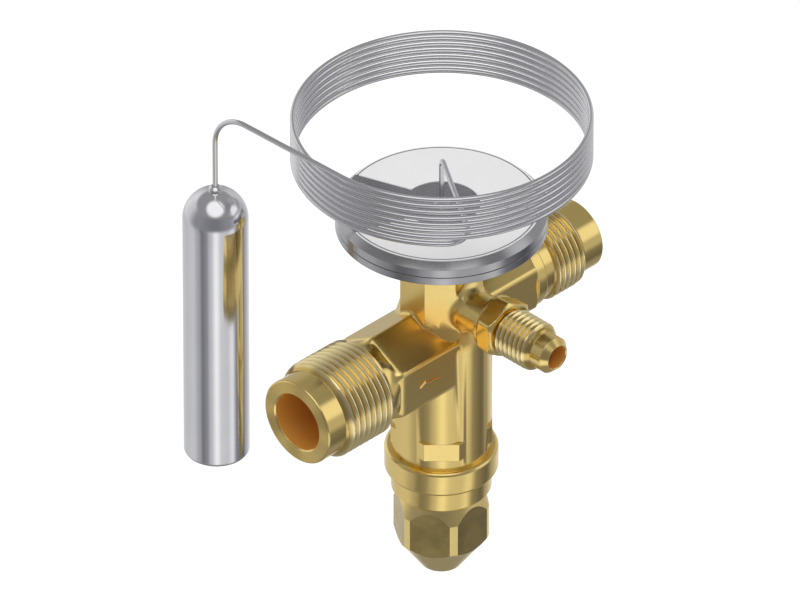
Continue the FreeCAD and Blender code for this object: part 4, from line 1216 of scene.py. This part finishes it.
def blend_over(tree, value, limits, first, second):
    """The first colour where the value is low, the second where it is high, and smooth between."""
    return mix_colours(tree, spread(tree, value, limits, kind="SMOOTHSTEP"), first, second)


def toward(tree, direction, target):
    """How far a direction points toward a target, as a socket."""
    return vector_step(tree, "DOT_PRODUCT", direction, target).outputs["Value"]


def studio_tones(tree):
    """The tones of the painted studio in every direction."""
    direction = add_node(tree, "TexCoord").outputs["Generated"]
    height = add_node(tree, "SeparateXYZ", {0: direction}).outputs[2]
    rightward = toward(tree, direction, RIGHT_SIDE)
    angle = arithmetic(tree, "ARCTAN2", rightward, toward(tree, direction, CAMERA_SIDE))
    turn = arithmetic(tree, "MULTIPLY_ADD", angle, 0.5 / pi, 0.5)
    floor, wall = tone_band(tree, turn, FLOOR_TONES), tone_band(tree, turn, WALL_TONES)
    overhead = toward(tree, direction, SOFTBOX_DIRECTION)
    sky = blend_over(tree, overhead, SOFTBOX_BLEND, grey(SKY_TONE), grey(SOFTBOX_TONE))
    ground = blend_over(tree, height, BELOW_BLEND, grey(BELOW_TONE), floor)
    low = blend_over(tree, height, WALL_BLEND, ground, wall)
    studio = blend_over(tree, height, SKY_BLEND, low, sky)
    return blend_over(tree, toward(tree, direction, STRIP_DIRECTION), STRIP_BLEND, studio, grey(STRIP_TONE))


def seen_rays(tree, path):
    """1 for rays that look at the backdrop, from the camera or through glass, but not off metal."""
    return arithmetic(tree, "MAXIMUM", path["Is Camera Ray"], path["Is Transmission Ray"])


def studio_world():
    """White for the camera and for glass, even after a dull bounce, the painted studio for metal."""
    world = bpy.data.worlds.new("studio")
    world.use_nodes = True
    bpy.context.scene.world = world
    tree = world.node_tree
    tree.nodes.clear()
    studio = studio_tones(tree)
    path = add_node(tree, "LightPath").outputs
    even = mix_colours(tree, path["Is Diffuse Ray"], studio, grey(EVEN_TONE))
    colour = mix_colours(tree, seen_rays(tree, path), even, grey(1))
    background = add_node(tree, "Background", {"Color": colour, "Strength": 1.0})
    tree.links.new(background.outputs[0], tree.nodes.new("ShaderNodeOutputWorld").inputs["Surface"])


studio_world()
print("world has", len(FLOOR_TONES), "tones below the horizon and", len(WALL_TONES), "at it")

# %% [markdown]
# ## The floor
# The valve is held by its outlet, so the floor lies a little below it and keeps its soft shadow.
# It is one pale face. A faint glow lifts it to the white of the backdrop for the rays that look at
# it, so that no edge shows where the two meet, and it adds no light to the valve. Reflections do
# not see it: they see the painted studio in its place.

# %% Floor
FLOOR_Z = -110 * MM
FLOOR_HALF = 1.5
FLOOR_TONE = 0.80
FLOOR_LIFT = 0.32


def pale_floor():
    """A pale sheet below the valve that shows only its soft shadow."""
    bm = bmesh.new()
    corners = [(-1, -1), (1, -1), (1, 1), (-1, 1)]
    bm.faces.new([bm.verts.new((FLOOR_HALF * x, FLOOR_HALF * y, FLOOR_Z)) for x, y in corners])
    material, tree, surface = blank_material("pale_floor")
    sheet = add_node(tree, "BsdfDiffuse", {"Color": grey(FLOOR_TONE)}).outputs[0]
    seen = seen_rays(tree, add_node(tree, "LightPath").outputs)
    lift = arithmetic(tree, "MULTIPLY", seen, FLOOR_LIFT)
    glow = add_node(tree, "Emission", {"Color": grey(1), "Strength": lift}).outputs[0]
    tree.links.new(add_node(tree, "AddShader", {0: sheet, 1: glow}).outputs[0], surface)
    floor = piece_from(bm, "floor", material)
    floor.visible_glossy = False
    return floor


pale_floor()
print("floor at", round(FLOOR_Z / MM), "mm")

# %% [markdown]
# ## The lamp
# The world already lights the valve, so the lamp is large and weak: it only shapes the label and
# the soft shadow. It hangs where the world's soft box is painted, and reflections don't show it
# twice.

# %% Lamp
LAMP_SIZE = 0.5
LAMP_DISTANCE = 0.9
LAMP_POWER = 2.2


def soft_lamp(name, direction, power):
    """A large square lamp that looks at the valve from a direction."""
    data = bpy.data.lights.new(name, "AREA")
    data.size = LAMP_SIZE
    data.energy = power
    lamp = bpy.data.objects.new(name, data)
    bpy.context.scene.collection.objects.link(lamp)
    lamp.location = Vector(direction).normalized() * LAMP_DISTANCE
    lamp.rotation_mode = "QUATERNION"
    lamp.rotation_quaternion = (-lamp.location).to_track_quat("-Z", "Y")
    lamp.visible_glossy = False
    return lamp


soft_lamp("key_lamp", SOFTBOX_DIRECTION, LAMP_POWER)
print("lamp of", LAMP_POWER, "W")

# %% [markdown]
# ## The camera
# The portrait draws parallel edges as parallel and shows three sides alike. A camera without
# perspective would do that. Here it stands far away with a long lens and looks down the diagonal
# of a cube, which gives the same picture and still behaves as a real camera.

# %% Camera
LENS = 1000.0
FRAME_WIDTH = 172.04 * MM
TARGET_RIGHT = -8.92 * MM
TARGET_UP = 8.30 * MM


def portrait_camera():
    """A far camera that looks down the cube's diagonal."""
    diagonal = Vector((-1, -1, 1)).normalized()
    right = Vector(RIGHT_SIDE)
    upward = diagonal.cross(right)
    data = bpy.data.cameras.new("portrait")
    data.lens = LENS
    distance = FRAME_WIDTH * LENS / data.sensor_width
    data.clip_start = distance / 100
    data.clip_end = distance * 10
    camera = bpy.data.objects.new("portrait", data)
    bpy.context.scene.collection.objects.link(camera)
    camera.location = right * TARGET_RIGHT + upward * TARGET_UP + diagonal * distance
    camera.rotation_mode = "QUATERNION"
    camera.rotation_quaternion = (-diagonal).to_track_quat("-Z", "Y")
    bpy.context.scene.camera = camera
    return distance


print("camera at", round(portrait_camera(), 2), "m")

# %% [markdown]
# ## The view transform
# The view transform is plain, so a colour renders as it is written.

# %% Finish
bpy.context.scene.view_settings.view_transform = "Standard"
